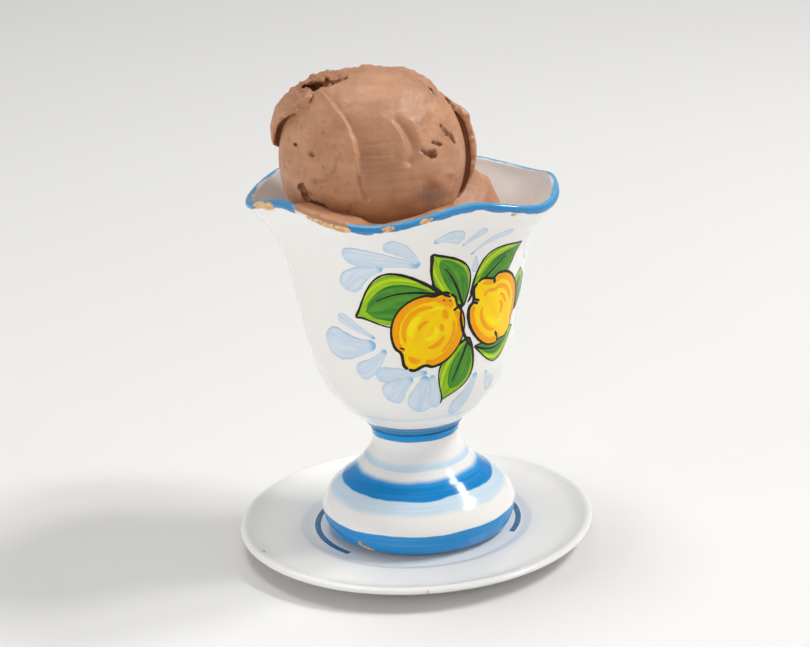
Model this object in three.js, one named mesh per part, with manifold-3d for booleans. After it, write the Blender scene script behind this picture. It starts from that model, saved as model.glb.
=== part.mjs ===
// A scoop-filled gelato cup: a footed, lobed majolica cup on its small saucer, with chocolate gelato.
// Millimetres, +Z up, the front towards -Y. The origin is on the table, below the saucer's centre.
// Azimuths are measured from the front, positive towards +X.
import * as THREE from 'three';
import { mergeVertices } from 'three/addons/utils/BufferGeometryUtils.js';
import Module from 'manifold-3d';

const wasm = await Module();
wasm.setup();

// ---------------------------------------------------------------- driving dimensions
const saucerRadius = 60;
const wellFloor = 4.7;            // height of the saucer's recess above the table
const contactGap = 0.3;           // clearance kept between touching pieces
const cupOffset = 1.1;            // the cup stands a little to the right of the saucer's centre
const cupBase = wellFloor + contactGap;

const footRadius = 33.1;
const waistRadius = 14.4;
const shoulderRadius = 40.0;      // outer radius of the bowl where the flare of the rim begins
const shoulderHeight = 98;
const lipRadius = 1.45;           // radius of the rounded lip in section
const wallAtShoulder = 4.0;

const scoopRadius = 29.7;
const scoopCentre = new THREE.Vector3(-9.5 + cupOffset, -6.5, 129 + cupBase);
const scoopTilt = THREE.MathUtils.degToRad(15);      // the scoop's crown looks forward and a little up
const sideScoopRadius = 25.5;
const sideScoopCentre = new THREE.Vector3(8.5 + cupOffset, 8, 98.6 + cupBase);
const fillLevel = 101;            // the gelato between the scoops, above the cup's base

const cupAround = 58;
const saucerAround = 52;
const scoopAround = 60;
const fillAround = 36;
const sideAround = 32;

// The hand-shaped rim: the middle of the lip at each lobe (wide and low) and each pinch (narrow and high).
const rimNodes = [
  { azimuth: -87, radius: 49.8, height: 115.3 },
  { azimuth: -54, radius: 45.7, height: 120.1 },
  { azimuth: -12, radius: 50.7, height: 116.9 },
  { azimuth: 26.5, radius: 45.4, height: 120.0 },
  { azimuth: 55, radius: 51.4, height: 115.8 },
  { azimuth: 90, radius: 48.0, height: 117.4 },
  { azimuth: 124, radius: 50.3, height: 113.4 },
  { azimuth: 168, radius: 46.1, height: 117.2 },
  { azimuth: 202, radius: 50.4, height: 115.3 },
  { azimuth: 237.5, radius: 46.1, height: 119.2 },
];

// ---------------------------------------------------------------- small helpers
const degrees = THREE.MathUtils.degToRad;
const smooth = (edge0, edge1, x) => THREE.MathUtils.smoothstep(x, edge0, edge1);

function smoothBetween(value, low, high, fade) {
  return smooth(low - fade, low + fade, value) * (1 - smooth(high - fade, high + fade, value));
}

// A closed curve through the rim's nodes, as radius and height at an azimuth in radians.
function rimAt(azimuth) {
  const count = rimNodes.length;
  const first = rimNodes[0].azimuth;
  const angle = first + (((THREE.MathUtils.radToDeg(azimuth) - first) % 360) + 360) % 360;
  const node = (i) => {
    const turn = Math.floor(i / count);
    const n = rimNodes[i - turn * count];
    return { azimuth: n.azimuth + 360 * turn, radius: n.radius, height: n.height };
  };
  let i = 0;
  while (node(i + 1).azimuth <= angle) i += 1;
  const [a, b, c, d] = [node(i - 1), node(i), node(i + 1), node(i + 2)];
  const t = (angle - b.azimuth) / (c.azimuth - b.azimuth);
  const through = (key) => {
    const slopeB = (c[key] - a[key]) / (c.azimuth - a.azimuth);
    const slopeC = (d[key] - b[key]) / (d.azimuth - b.azimuth);
    const span = c.azimuth - b.azimuth;
    const t2 = t * t;
    const t3 = t2 * t;
    return (2 * t3 - 3 * t2 + 1) * b[key] + (t3 - 2 * t2 + t) * slopeB * span
      + (3 * t2 - 2 * t3) * c[key] + (t3 - t2) * slopeC * span;
  };
  return { radius: through('radius'), height: through('height') };
}

function bezier(p0, p1, p2, p3, t) {
  const s = 1 - t;
  return [0, 1].map((k) => s * s * s * p0[k] + 3 * s * s * t * p1[k] + 3 * s * t * t * p2[k] + t * t * t * p3[k]);
}

// A closed surface: rows of points around the axis between two poles, faces pointing out.
function closedRows(rows, around, startPole, endPole) {
  const positions = [...startPole];
  rows.forEach((row) => {
    for (let j = 0; j < around; j += 1) positions.push(...row(j / around * Math.PI * 2));
  });
  positions.push(...endPole);
  const last = positions.length / 3 - 1;
  const at = (i, j) => 1 + i * around + (j % around);
  const index = [];
  for (let j = 0; j < around; j += 1) {
    index.push(0, at(0, j + 1), at(0, j));
    index.push(last, at(rows.length - 1, j), at(rows.length - 1, j + 1));
    for (let i = 0; i + 1 < rows.length; i += 1) {
      index.push(at(i, j), at(i, j + 1), at(i + 1, j));
      index.push(at(i, j + 1), at(i + 1, j + 1), at(i + 1, j));
    }
  }
  const geometry = new THREE.BufferGeometry();
  geometry.setAttribute('position', new THREE.Float32BufferAttribute(positions, 3));
  geometry.setIndex(index);
  return signedVolume(geometry) < 0 ? flipped(geometry) : geometry;
}

function signedVolume(geometry) {
  const p = geometry.attributes.position;
  const index = geometry.index;
  const [a, b, c] = [new THREE.Vector3(), new THREE.Vector3(), new THREE.Vector3()];
  let volume = 0;
  for (let i = 0; i < index.count; i += 3) {
    a.fromBufferAttribute(p, index.getX(i));
    b.fromBufferAttribute(p, index.getX(i + 1));
    c.fromBufferAttribute(p, index.getX(i + 2));
    volume += a.dot(b.cross(c)) / 6;
  }
  return volume;
}

function flipped(geometry) {
  const index = geometry.index;
  for (let i = 0; i < index.count; i += 3) {
    const second = index.getX(i + 1);
    index.setX(i + 1, index.getX(i + 2));
    index.setX(i + 2, second);
  }
  return geometry;
}

// A ring of the cup or saucer: radius and height at an azimuth become a point.
const ringPoint = (radius, height, azimuth) => [radius * Math.sin(azimuth), -radius * Math.cos(azimuth), height];

function toManifold(geometry) {
  const bare = geometry.clone();
  bare.deleteAttribute('normal');
  bare.deleteAttribute('uv');
  const merged = mergeVertices(bare, 1e-4);
  return new wasm.Manifold(new wasm.Mesh({
    numProp: 3,
    vertProperties: new Float32Array(merged.attributes.position.array),
    triVerts: new Uint32Array(merged.index.array),
  }));
}

function fromManifold(solid) {
  const mesh = solid.getMesh();
  const geometry = new THREE.BufferGeometry();
  geometry.setAttribute('position', new THREE.BufferAttribute(new Float32Array(mesh.vertProperties), 3));
  geometry.setIndex(new THREE.BufferAttribute(new Uint32Array(mesh.triVerts), 1));
  return geometry;
}

// Gentle, repeatable unevenness in about -1 to 1, with lumps of about `size` millimetres.
function lumps(x, y, z, size) {
  const k = 2 * Math.PI / size;
  return (Math.sin(k * (0.83 * x + 0.41 * y) + 1.3) * Math.cos(k * (0.57 * z - 0.62 * x) + 0.4)
    + 0.7 * Math.sin(k * (0.71 * y - 0.66 * z) + 2.1) * Math.cos(k * (0.92 * x + 0.37 * z) - 0.8)) / 1.7;
}

// ---------------------------------------------------------------- saucer
// Half section, from the middle of the underside out to the beaded rim and back to the middle of the well.
const saucerUnderside = [
  [32.2, 1.6],
  [33.2, 0.2],
  [33.8, 0],
  [36.2, 0],
  [37.0, 0.4],
  [38.6, 2.2],
  [47, 3.5],
  [56.8, 5.3],
  [59.2, 5.9],
];
const saucerTop = [
  [saucerRadius, 6.7],
  [59.6, 7.5],
  [58.6, 7.9],
  [57.6, 7.7],
  [55.2, 6.7],
  [51.6, 6.0],
  [38.4, 5.6],
  [37.3, 5.2],
  [36.6, wellFloor],
];

function saucerGeometry() {
  const section = [...saucerUnderside, ...saucerTop];
  const rows = section.map(([radius, height]) => (azimuth) => ringPoint(radius, height, azimuth));
  return closedRows(rows, saucerAround, [0, 0, 1.6], [0, 0, wellFloor]);
}

// ---------------------------------------------------------------- cup
// Outside of the foot, the waist with its turned groove, and the bowl up to the shoulder.
const footSection = [
  [26.0, 2.5],
  [27.2, 0],
  [30.6, 0],
  [31.9, 1.4],
  [footRadius, 8.2],
  [32.3, 10.6],
  [30.4, 13.5],
  [27.9, 15.9],
  [25.4, 17.8],
  [22.2, 20.4],
  [19.7, 23],
  [17.1, 26],
  [15.2, 29],
  [waistRadius, 31.5],
];
const grooveSection = [
  [14.6, 34.2],
  [15.1, 36.2],
  [14.7, 36.9],
  [15.7, 37.6],
  [16.7, 39.6],
];
const bowlSection = [
  [21.9, 43.7],
  [27.7, 50.2],
  [30.7, 56],
  [32.9, 62.5],
  [35.6, 75],
  [37.8, 87],
  [shoulderRadius, shoulderHeight],
];
// Inside of the bowl, from the shoulder down to the bottom.
const innerSection = [
  [shoulderRadius - wallAtShoulder, shoulderHeight],
  [33.7, 87],
  [31.5, 75],
  [28.6, 62.5],
  [24.6, 54.5],
  [18.5, 49],
  [10, 46.6],
];
const innerBottom = 46;

// The flare between the shoulder and the lip, outside (t = 0 at the shoulder) and inside (t = 0 at the lip).
function flareOutside(t, azimuth) {
  const rim = rimAt(azimuth);
  return bezier(
    [shoulderRadius, shoulderHeight],
    [shoulderRadius + 1.0, shoulderHeight + 6.5],
    [rim.radius - 3.2, rim.height - 5.5],
    [rim.radius + 0.9, rim.height - 1.15],
    t,
  );
}

function flareInside(t, azimuth) {
  const rim = rimAt(azimuth);
  const inner = shoulderRadius - wallAtShoulder;
  return bezier(
    [rim.radius - 1.4, rim.height + 0.3],
    [rim.radius - 3.9, rim.height - 4],
    [inner + 1.5, shoulderHeight + 6.5],
    [inner, shoulderHeight],
    t,
  );
}

function lip(angle, azimuth) {
  const rim = rimAt(azimuth);
  return [rim.radius + lipRadius * Math.cos(angle), rim.height + lipRadius * Math.sin(angle)];
}

function cupRows() {
  const rows = [...footSection, ...grooveSection, ...bowlSection].map((point) => () => point);
  [0.2, 0.4, 0.58, 0.75, 0.9, 1].forEach((t) => rows.push((azimuth) => flareOutside(t, azimuth)));
  [-10, 30, 70, 110, 145].forEach((angle) => rows.push((azimuth) => lip(degrees(angle), azimuth)));
  [0, 0.15, 0.35, 0.6, 0.8].forEach((t) => rows.push((azimuth) => flareInside(t, azimuth)));
  innerSection.forEach((point) => rows.push(() => point));
  return rows;
}

function cupGeometry() {
  const rows = cupRows().map((row) => (azimuth) => ringPoint(...row(azimuth), azimuth));
  return closedRows(rows, cupAround, [0, 0, 2.6], [0, 0, innerBottom]);
}

// ---------------------------------------------------------------- the upper scoop
// Beside its smooth crown the scoop has a torn skirt of gelato, which stands off it on the right as a thin
// shell and hangs over it at the upper left as a flap. `turn` runs round the crown, 0 to the right, 90 up.
function skirtReach(turn) {
  const shell = smoothBetween(turn, -22, 30, 9) * (3.4 + 1.0 * Math.exp(-(((turn - 26) / 7) ** 2)));
  const flap = smoothBetween(turn, 122, 169, 7) * 4.6;
  const torn = 0.5 * smoothBetween(turn, 34, 112, 6) * Math.sin(degrees(turn * 9)) ** 2;
  return shell + flap + torn;
}

function skirtGap(turn) {
  const right = smoothBetween(turn, -25, 30, 8) * 1.9;
  const left = smoothBetween(turn, 142, 172, 6) * 1.3;
  const tear = smoothBetween(turn, 112, 137, 6) * 1.8;
  return right + left + tear;
}

// The raised fold that runs down the crown's left half, and the soft hollow to the right of it. Both are
// given on the plane seen along the scoop's axis: across to the right, up, in millimetres from its centre.
function foldCentre(up) {
  return -3.4 - 0.13 * Math.max(up, 0) - 0.0185 * Math.max(up, 0) ** 2;
}

function crownRelief(across, up) {
  const along = smooth(-13, -4, up) * (1 - smooth(19, 23, up));
  const fold = foldCentre(up);
  const step = 0.45 * smooth(fold - 6, fold, across) * (1 - smooth(fold, fold + 0.9, across));
  const hollow = -0.9 * Math.exp(-(((across - 12 + 0.35 * up) / 3.2) ** 2) - (((up - 4) / 11) ** 2));
  const pit = -1.8 * Math.exp(-(((across - 18) / 1.7) ** 2) - (((up - 2) / 1.3) ** 2));
  const tearLow = -1.6 * Math.exp(-(((across + 20.5) / 3.0) ** 2) - (((up + 12) / 3.2) ** 2));
  return along * step + hollow + pit + tearLow;
}

// Half section of the scoop: along its axis and out from it, for a place s down the section.
const sectionPlaces = [
  ...[10, 20, 30, 40, 50, 60, 69, 77, 84, 90, 95].map((angle) => ({ angle, skirt: 'crown' })),
  { angle: 98, skirt: 'groove' },
  { angle: 99, skirt: 'innerEdge' },
  { angle: 100, skirt: 'tip' },
  { angle: 102, skirt: 'outerEdge' },
  { angle: 108, skirt: 'outside' },
  ...[117, 126, 136, 146, 156, 167].map((angle) => ({ angle, skirt: 'back' })),
];

function scoopSection(place, turn) {
  const reach = skirtReach(turn);
  const gap = Math.min(skirtGap(turn), reach * 0.62);
  const opened = Math.min(1, reach / 2);
  const angle = degrees(place.angle);
  const sphere = [scoopRadius * Math.cos(angle), scoopRadius * Math.sin(angle)];
  const shapes = {
    crown: sphere,
    groove: [sphere[0] - 2.4 * opened, sphere[1] - 0.6 * opened + 0.5 * gap],
    innerEdge: [sphere[0] + 1.6 * opened, scoopRadius + gap],
    tip: [sphere[0] + 3.6 * opened, scoopRadius + (gap + reach) / 2],
    outerEdge: [sphere[0] + 2.6 * opened, scoopRadius + reach],
    outside: [sphere[0] + 0.6 * opened, sphere[1] + reach],
    back: [sphere[0], sphere[1] + reach * Math.max(0, (140 - place.angle) / 40)],
  };
  return shapes[place.skirt];
}

const scoopAxis = new THREE.Vector3(0, -Math.cos(scoopTilt), Math.sin(scoopTilt));
const scoopRight = new THREE.Vector3(1, 0, 0);
const scoopUp = new THREE.Vector3().crossVectors(scoopRight, scoopAxis).negate();

function scoopGeometry() {
  const toWorld = (along, out, radians) => {
    const point = scoopCentre.clone();
    point.addScaledVector(scoopAxis, along);
    point.addScaledVector(scoopRight, out * Math.cos(radians));
    point.addScaledVector(scoopUp, out * Math.sin(radians));
    return point;
  };
  const rows = sectionPlaces.map((place) => (radians) => {
    const turn = ((THREE.MathUtils.radToDeg(radians) + 60) % 360) - 60;
    const [along, out] = scoopSection(place, turn);
    const across = out * Math.cos(radians);
    const up = out * Math.sin(radians);
    let relief = 0;
    if (place.skirt === 'crown') relief = crownRelief(across, up);
    if (place.skirt === 'back') relief = 0.8 * lumps(along, across, up, 21) - 0.4;
    const scale = 1 + relief / scoopRadius;
    return toWorld(along * scale, out * scale, radians).toArray();
  });
  const front = toWorld(scoopRadius, 0, 0).toArray();
  const back = toWorld(-(scoopRadius - 0.6), 0, 0).toArray();
  return closedRows(rows, scoopAround, front, back);
}

// ---------------------------------------------------------------- gelato inside the bowl
// How far up the flare the gelato lies against the wall: low at the back, up to the lip at the front, where
// the upper scoop has been pressed down into a ledge.
function ledge(azimuth) {
  const angle = THREE.MathUtils.radToDeg(Math.atan2(Math.sin(azimuth), Math.cos(azimuth)));
  return smoothBetween(angle, -66, 36, 14);
}

function fillRows() {
  const wall = [...innerSection].reverse().map(([radius, height]) => () => [radius - contactGap, height + 0.1]);
  const top = (azimuth) => 0.82 - 0.64 * ledge(azimuth);
  const against = [0.25, 0.5, 0.75, 1].map((share) => (azimuth) => {
    const [radius, height] = flareInside(1 - share * (1 - top(azimuth)), azimuth);
    return [radius - contactGap - 0.2, height - 0.05];
  });
  const surface = [0.97, 0.9, 0.82, 0.74, 0.64, 0.5, 0.25].map((share) => (azimuth) => {
    const [edge, height] = flareInside(top(azimuth), azimuth);
    const rise = height - fillLevel + 0.3 * ledge(azimuth);
    const radius = (edge - contactGap) * share;
    const bump = 0.6 * lumps(radius * Math.sin(azimuth), radius * Math.cos(azimuth), 0, 17);
    return [radius, fillLevel + rise * smooth(0.6, 0.84, share) + bump * (1 - ledge(azimuth))];
  });
  return [...wall, ...against, ...surface];
}

function fillGeometry() {
  const rows = fillRows().map((row) => (azimuth) => ringPoint(...row(azimuth), azimuth));
  return closedRows(rows, fillAround, [0, 0, innerBottom + contactGap], [0, 0, fillLevel]);
}

// The whole room inside the cup, a gap clear of its wall, open upwards to well above the rim.
function roomGeometry() {
  const headroom = 40;
  const wall = [...innerSection].reverse().map(([radius, height]) => () => [radius - contactGap, height + 0.1]);
  const flare = [0.8, 0.6, 0.35, 0.15, 0].map((t) => (azimuth) => {
    const [radius, height] = flareInside(t, azimuth);
    return [radius - contactGap - 0.25, height];
  });
  const above = [(azimuth) => [flareInside(0, azimuth)[0] - 0.6, shoulderHeight + headroom]];
  const rows = [...wall, ...flare, ...above].map((row) => (azimuth) => ringPoint(...row(azimuth), azimuth));
  return closedRows(rows, cupAround, [0, 0, innerBottom + contactGap], [0, 0, shoulderHeight + headroom]);
}

function sideScoopGeometry() {
  const rows = [13, 28, 43, 57, 71, 84, 97, 112, 130, 152].map((angle) => (azimuth) => {
    const out = Math.sin(degrees(angle));
    const direction = ringPoint(out, Math.cos(degrees(angle)), azimuth);
    const folds = 0.45 * Math.sin(3.2 * Math.atan2(direction[0], direction[2]) + 0.6);
    const radius = sideScoopRadius + folds + 0.35 * lumps(...direction.map((c) => c * 25), 19);
    return direction.map((c, k) => sideScoopCentre.getComponent(k) + c * radius);
  });
  const pole = (side) => sideScoopCentre.clone().add(new THREE.Vector3(0, 0, side * sideScoopRadius));
  return closedRows(rows, sideAround, pole(1).toArray(), pole(-1).toArray());
}

// ---------------------------------------------------------------- the assembly
const glazedWhite = { color: 0xeeebe6, roughness: 0.16, metalness: 0 };
const chocolate = { color: 0x9c6a4e, roughness: 0.5, metalness: 0 };

const part = new THREE.Group();

function addPiece(name, geometry, look) {
  geometry.computeVertexNormals();
  const mesh = new THREE.Mesh(geometry, new THREE.MeshStandardMaterial(look));
  mesh.name = name;
  part.add(mesh);
  return mesh;
}

function inCup(geometry) {
  return geometry.translate(cupOffset, 0, cupBase);
}

// The room that a scoop needs with the contact gap round it: the scoop joined with a slightly larger one.
function withGap(geometry, centre, radius) {
  const larger = geometry.clone();
  const scale = 1 + contactGap * 1.4 / radius;
  larger.translate(...centre.clone().negate().toArray());
  larger.scale(scale, scale, scale);
  larger.translate(...centre.toArray());
  return toManifold(geometry).add(toManifold(larger));
}

const upperScoop = scoopGeometry();
const sideBall = sideScoopGeometry();
const upperRoom = withGap(upperScoop, scoopCentre, scoopRadius);
const sideRoom = withGap(sideBall, sideScoopCentre, sideScoopRadius);
const bowlRoom = toManifold(inCup(roomGeometry()));
const sideScoop = toManifold(sideBall).intersect(bowlRoom).subtract(upperRoom);
const fill = toManifold(inCup(fillGeometry())).subtract(upperRoom).subtract(sideRoom);

// A cut can leave loose crumbs: the largest piece is the solid.
function largestPiece(solid) {
  return solid.decompose().sort((a, b) => b.volume() - a.volume())[0];
}

addPiece('saucer', saucerGeometry(), glazedWhite);
addPiece('cup', inCup(cupGeometry()), glazedWhite);
addPiece('gelato_upper_scoop', upperScoop, chocolate);
addPiece('gelato_side_scoop', fromManifold(largestPiece(sideScoop)), chocolate);
addPiece('gelato_fill', fromManifold(largestPiece(fill)), chocolate);

export default part;
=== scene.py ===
"""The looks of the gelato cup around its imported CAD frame: hand-painted glazed majolica and chocolate gelato.

Lengths are in millimetres until a mesh is made. +Z is up and the front faces -Y. Azimuths are measured from
the front, positive towards +X. The cup's own heights and radii are measured from the middle of its base.
"""
import math

import bpy
import numpy as np
from mathutils import Matrix, Vector


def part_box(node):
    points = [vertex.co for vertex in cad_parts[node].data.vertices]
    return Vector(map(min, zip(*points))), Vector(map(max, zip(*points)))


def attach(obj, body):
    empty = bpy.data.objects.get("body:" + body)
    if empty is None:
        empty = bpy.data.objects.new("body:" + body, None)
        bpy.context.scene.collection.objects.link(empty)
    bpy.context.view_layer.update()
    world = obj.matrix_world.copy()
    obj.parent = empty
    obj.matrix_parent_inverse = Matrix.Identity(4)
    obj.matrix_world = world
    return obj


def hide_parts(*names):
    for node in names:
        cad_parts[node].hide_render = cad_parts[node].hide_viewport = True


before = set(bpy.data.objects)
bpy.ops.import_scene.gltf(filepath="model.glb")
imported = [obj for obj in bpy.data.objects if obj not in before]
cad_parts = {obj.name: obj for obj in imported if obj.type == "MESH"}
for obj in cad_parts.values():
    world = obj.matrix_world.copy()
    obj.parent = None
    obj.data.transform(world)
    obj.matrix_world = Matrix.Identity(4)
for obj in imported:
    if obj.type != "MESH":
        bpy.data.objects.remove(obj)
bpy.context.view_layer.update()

MM = 0.001

# ------------------------------------------------------------------ driving dimensions, as in the CAD model
CUP_OFFSET = 1.1  # the cup stands a little to the right of the saucer's centre
CUP_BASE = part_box("cup")[0].z / MM
SAUCER_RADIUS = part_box("saucer")[1].x / MM
WELL_FLOOR = 4.7
SHOULDER_RADIUS = 40.0
SHOULDER_HEIGHT = 98.0
WALL = 4.0
LIP_RADIUS = 1.45

# The hand-shaped rim: azimuth in degrees, radius and height of the lip's middle at each lobe and pinch.
RIM_NODES = [
    (-87, 49.8, 115.3),
    (-54, 45.7, 120.1),
    (-12, 50.7, 116.9),
    (26.5, 45.4, 120.0),
    (55, 51.4, 115.8),
    (90, 48.0, 117.4),
    (124, 50.3, 113.4),
    (168, 46.1, 117.2),
    (202, 50.4, 115.3),
    (237.5, 46.1, 119.2),
]

# Half sections, radius and height: the underside of the foot, the outside up to the shoulder, the inside.
FOOT_UNDERSIDE = [(20, 2.6), (25.6, 2.5), (26.2, 0.9), (26.8, 0), (27.6, 0)]
OUTSIDE = [
    (28.1, 0.15),
    (31.1, 1.9),
    (32.8, 8.0),
    (32.2, 10.6),
    (30.4, 13.5),
    (27.9, 15.9),
    (25.4, 17.8),
    (22.2, 20.4),
    (19.7, 23),
    (17.1, 26),
    (15.2, 29),
    (14.4, 31.5),
    (14.6, 34.2),
    (15.1, 36.2),
    (14.8, 36.9),
    (16.2, 37.7),
    (17.5, 39.6),
    (22.2, 43.7),
    (27.7, 50.2),
    (30.7, 56),
    (32.9, 62.5),
    (35.6, 75),
    (37.8, 87),
    (SHOULDER_RADIUS, SHOULDER_HEIGHT),
    (SHOULDER_RADIUS + 1.0, SHOULDER_HEIGHT + 6.5),
]
INSIDE = [
    (SHOULDER_RADIUS - WALL, SHOULDER_HEIGHT),
    (33.7, 87),
    (31.5, 75),
    (28.6, 62.5),
    (24.6, 54.5),
    (18.5, 49),
    (10, 46.6),
    (0, 46),
]
SAUCER_UNDERSIDE = [
    (0, 1.6),
    (31.6, 1.6),
    (33.2, 0.2),
    (33.8, 0),
    (36.2, 0),
    (37.0, 0.4),
    (38.6, 2.2),
    (47, 3.5),
    (56.8, 5.3),
    (59.2, 5.9),
]
SAUCER_TOP = [
    (SAUCER_RADIUS, 6.7),
    (59.6, 7.5),
    (58.6, 7.9),
    (57.6, 7.7),
    (55.2, 6.7),
    (51.6, 6.0),
    (40.6, 5.6),
    (38.6, 5.3),
    (36.8, 4.85),
    (35.4, WELL_FLOOR),
    (30, WELL_FLOOR),
    (0, WELL_FLOOR),
]


# ------------------------------------------------------------------ numbers and curves
def smooth(low, high, value):
    """A soft step from 0 below `low` to 1 above `high`."""
    t = np.clip((value - low) / (high - low), 0, 1)
    return t * t * (3 - 2 * t)


class Noise:
    """Repeatable gradient noise in about -1 to 1, with lumps of about `size`."""

    def __init__(self, seed):
        draw = np.random.default_rng(seed)
        self.table = draw.permutation(256)
        gradients = draw.normal(size=(256, 3))
        self.gradients = gradients / np.linalg.norm(gradients, axis=1)[:, None]

    def __call__(self, points, size):
        scaled = points / size
        cell = np.floor(scaled).astype(np.int64)
        inside = scaled - cell
        fade = inside**3 * (inside * (inside * 6 - 15) + 10)
        total = np.zeros(len(points))
        for corner in np.ndindex(2, 2, 2):
            place = (cell + corner) & 255
            hashed = self.table[(self.table[place[:, 0]] + place[:, 1]) & 255]
            hashed = self.table[(hashed + place[:, 2]) & 255]
            weight = np.prod(np.where(corner, fade, 1 - fade), axis=1)
            total += weight * np.einsum("ij,ij->i", self.gradients[hashed], inside - corner)
        return total * 1.5

    def rough(self, points, size, octaves=3):
        """The noise with finer and weaker noise on top."""
        return sum(self(points + 17.3 * k, size / 2**k) / 2**k for k in range(octaves))


def smooth_line(points, count=None, spacing=None):
    """A smooth line through the points, resampled evenly, or at a spacing that may vary along it."""
    p = np.asarray(points, float)
    ends = np.vstack([2 * p[0] - p[1], p, 2 * p[-1] - p[-2]])
    t = np.linspace(0, 1, 24, endpoint=False)[:, None]
    spans = []
    for a, b, c, d in zip(ends, ends[1:], ends[2:], ends[3:]):
        spans.append(b + 0.5 * t * (c - a + t * (2 * a - 5 * b + 4 * c - d + t * (3 * (b - c) + d - a))))
    dense = np.vstack([*spans, p[-1:]])
    steps = np.linalg.norm(np.diff(dense[:, :2], axis=0), axis=1)
    if spacing is not None:
        middle = (dense[1:] + dense[:-1]) / 2
        steps = steps / np.array([spacing(*m) for m in middle])
        count = int(steps.sum()) + 2
    travelled = np.concatenate([[0], np.cumsum(steps)])
    places = np.linspace(0, travelled[-1], count)
    return np.stack([np.interp(places, travelled, dense[:, k]) for k in range(p.shape[1])], axis=1)


def rim_at(azimuths):
    """The lip's middle, radius and height, at azimuths in radians."""
    nodes = np.array(RIM_NODES, float)
    turns = np.concatenate([nodes + [360 * k, 0, 0] for k in (-1, 0, 1, 2)])
    first = nodes[0, 0]
    angle = first + (np.degrees(azimuths) - first) % 360
    after = np.searchsorted(turns[:, 0], angle, side="right")
    a, b, c, d = (turns[after + k] for k in (-2, -1, 0, 1))
    span = (c[:, 0] - b[:, 0])[:, None]
    t = (angle - b[:, 0])[:, None] / span
    slope_b = (c - a)[:, 1:] / (c - a)[:, :1] * span
    slope_c = (d - b)[:, 1:] / (d - b)[:, :1] * span
    line = (2 * t**3 - 3 * t**2 + 1) * b[:, 1:] + (t**3 - 2 * t**2 + t) * slope_b
    line = line + (3 * t**2 - 2 * t**3) * c[:, 1:] + (t**3 - t**2) * slope_c
    return line[:, 0], line[:, 1]


def bezier(p0, p1, p2, p3, t):
    s = 1 - t
    return tuple(
        s**3 * a + 3 * s * s * t * b + 3 * s * t * t * c + t**3 * d for a, b, c, d in zip(p0, p1, p2, p3)
    )


def flare_outside(t, azimuths):
    """The outside between the shoulder (t = 0) and the lip (t = 1): radii and heights."""
    radius, height = rim_at(azimuths)
    return bezier(
        (SHOULDER_RADIUS, SHOULDER_HEIGHT),
        (SHOULDER_RADIUS + 1.0, SHOULDER_HEIGHT + 6.5),
        (radius - 3.2, height - 5.5),
        (radius + 0.9, height - 1.15),
        t,
    )


def flare_inside(t, azimuths):
    """The inside between the lip (t = 0) and the shoulder (t = 1): radii and heights."""
    radius, height = rim_at(azimuths)
    inner = SHOULDER_RADIUS - WALL
    return bezier(
        (radius - 1.4, height + 0.3),
        (radius - 3.9, height - 4.0),
        (inner + 1.5, SHOULDER_HEIGHT + 6.5),
        (inner, SHOULDER_HEIGHT),
        t,
    )


def ring(radius, height, azimuths):
    """Points in the cup's own frame."""
    radius = np.broadcast_to(radius, azimuths.shape)
    height = np.broadcast_to(height, azimuths.shape)
    return np.stack([radius * np.sin(azimuths), -radius * np.cos(azimuths), height], axis=-1)


# ------------------------------------------------------------------ meshes
def make_piece(name, points, faces, replaces=(), values=None, place=(CUP_OFFSET, 0, CUP_BASE)):
    """A smooth-shaded piece of the object, from points in the cup's frame, with named values at its points."""
    mesh = bpy.data.meshes.new(name)
    mesh.from_pydata(((np.asarray(points) + place) * MM).tolist(), [], faces)
    mesh.polygons.foreach_set("use_smooth", np.ones(len(mesh.polygons), bool))
    for key, numbers in (values or {}).items():
        layer = mesh.attributes.new(key, "FLOAT", "POINT")
        layer.data.foreach_set("value", np.asarray(numbers, np.float32))
    mesh.update()
    piece = bpy.data.objects.new(name, mesh)
    bpy.context.scene.collection.objects.link(piece)
    if replaces:
        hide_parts(*replaces)
    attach(piece, "root")
    return piece


def closed_rows(rows):
    """Faces of a surface of closed rows round the axis; its first and last points are the poles.

    The rows run from the underside's middle outwards and up, and back over the top, so that faces point out.
    """
    count, around = rows.shape[:2]
    points = np.vstack([rows[0].mean(0)[None], rows.reshape(-1, 3), rows[-1].mean(0)[None]])
    at = 1 + np.arange(count * around).reshape(count, around)
    beside = np.roll(at, -1, axis=1)
    quads = np.stack([at[:-1], beside[:-1], beside[1:], at[1:]], axis=-1).reshape(-1, 4).tolist()
    last = len(points) - 1
    first_fan = [[0, b, a] for a, b in zip(at[0], beside[0])]
    last_fan = [[last, a, b] for a, b in zip(at[-1], beside[-1])]
    return points, quads + first_fan + last_fan


# ------------------------------------------------------------------ the cup
# Chips that show the fired clay, at the rim: azimuth in degrees, distance outwards from the top of the lip,
# half length along the rim and half height.
RIM_CHIPS = [
    (-70.5, 2.2, 3.4, 1.5),
    (-64.2, 3.2, 3.6, 1.7),
    (-35.2, 2.5, 2.4, 0.9),
    (-28.8, 2.9, 4.0, 1.1),
    (-22.3, 2.9, 3.2, 1.4),
    (-5.5, 2.0, 2.0, 1.0),
    (7.3, 2.1, 2.1, 0.9),
    (42.5, 4.4, 0.8, 0.8),
]
# And at the foot: azimuth, height, half length, half height.
FOOT_CHIPS = [
    (-38.9, 3.4, 1.0, 1.4),
    (-36.0, 2.3, 1.3, 0.8),
    (-32.5, 2.0, 1.9, 0.7),
]

FRONT_FROM, FRONT_TO = -95, 75  # the stretch of the rim, in degrees, that has chips and the finest mesh
WORN_RIM = (-44.5, -21)  # the stretch of the rim that has lost its blue


def cup_azimuths():
    front = np.radians(np.arange(FRONT_FROM, FRONT_TO, 0.46))
    rest = np.radians(np.arange(FRONT_TO, FRONT_FROM + 360, 1.2))
    return np.concatenate([front, rest])


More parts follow.
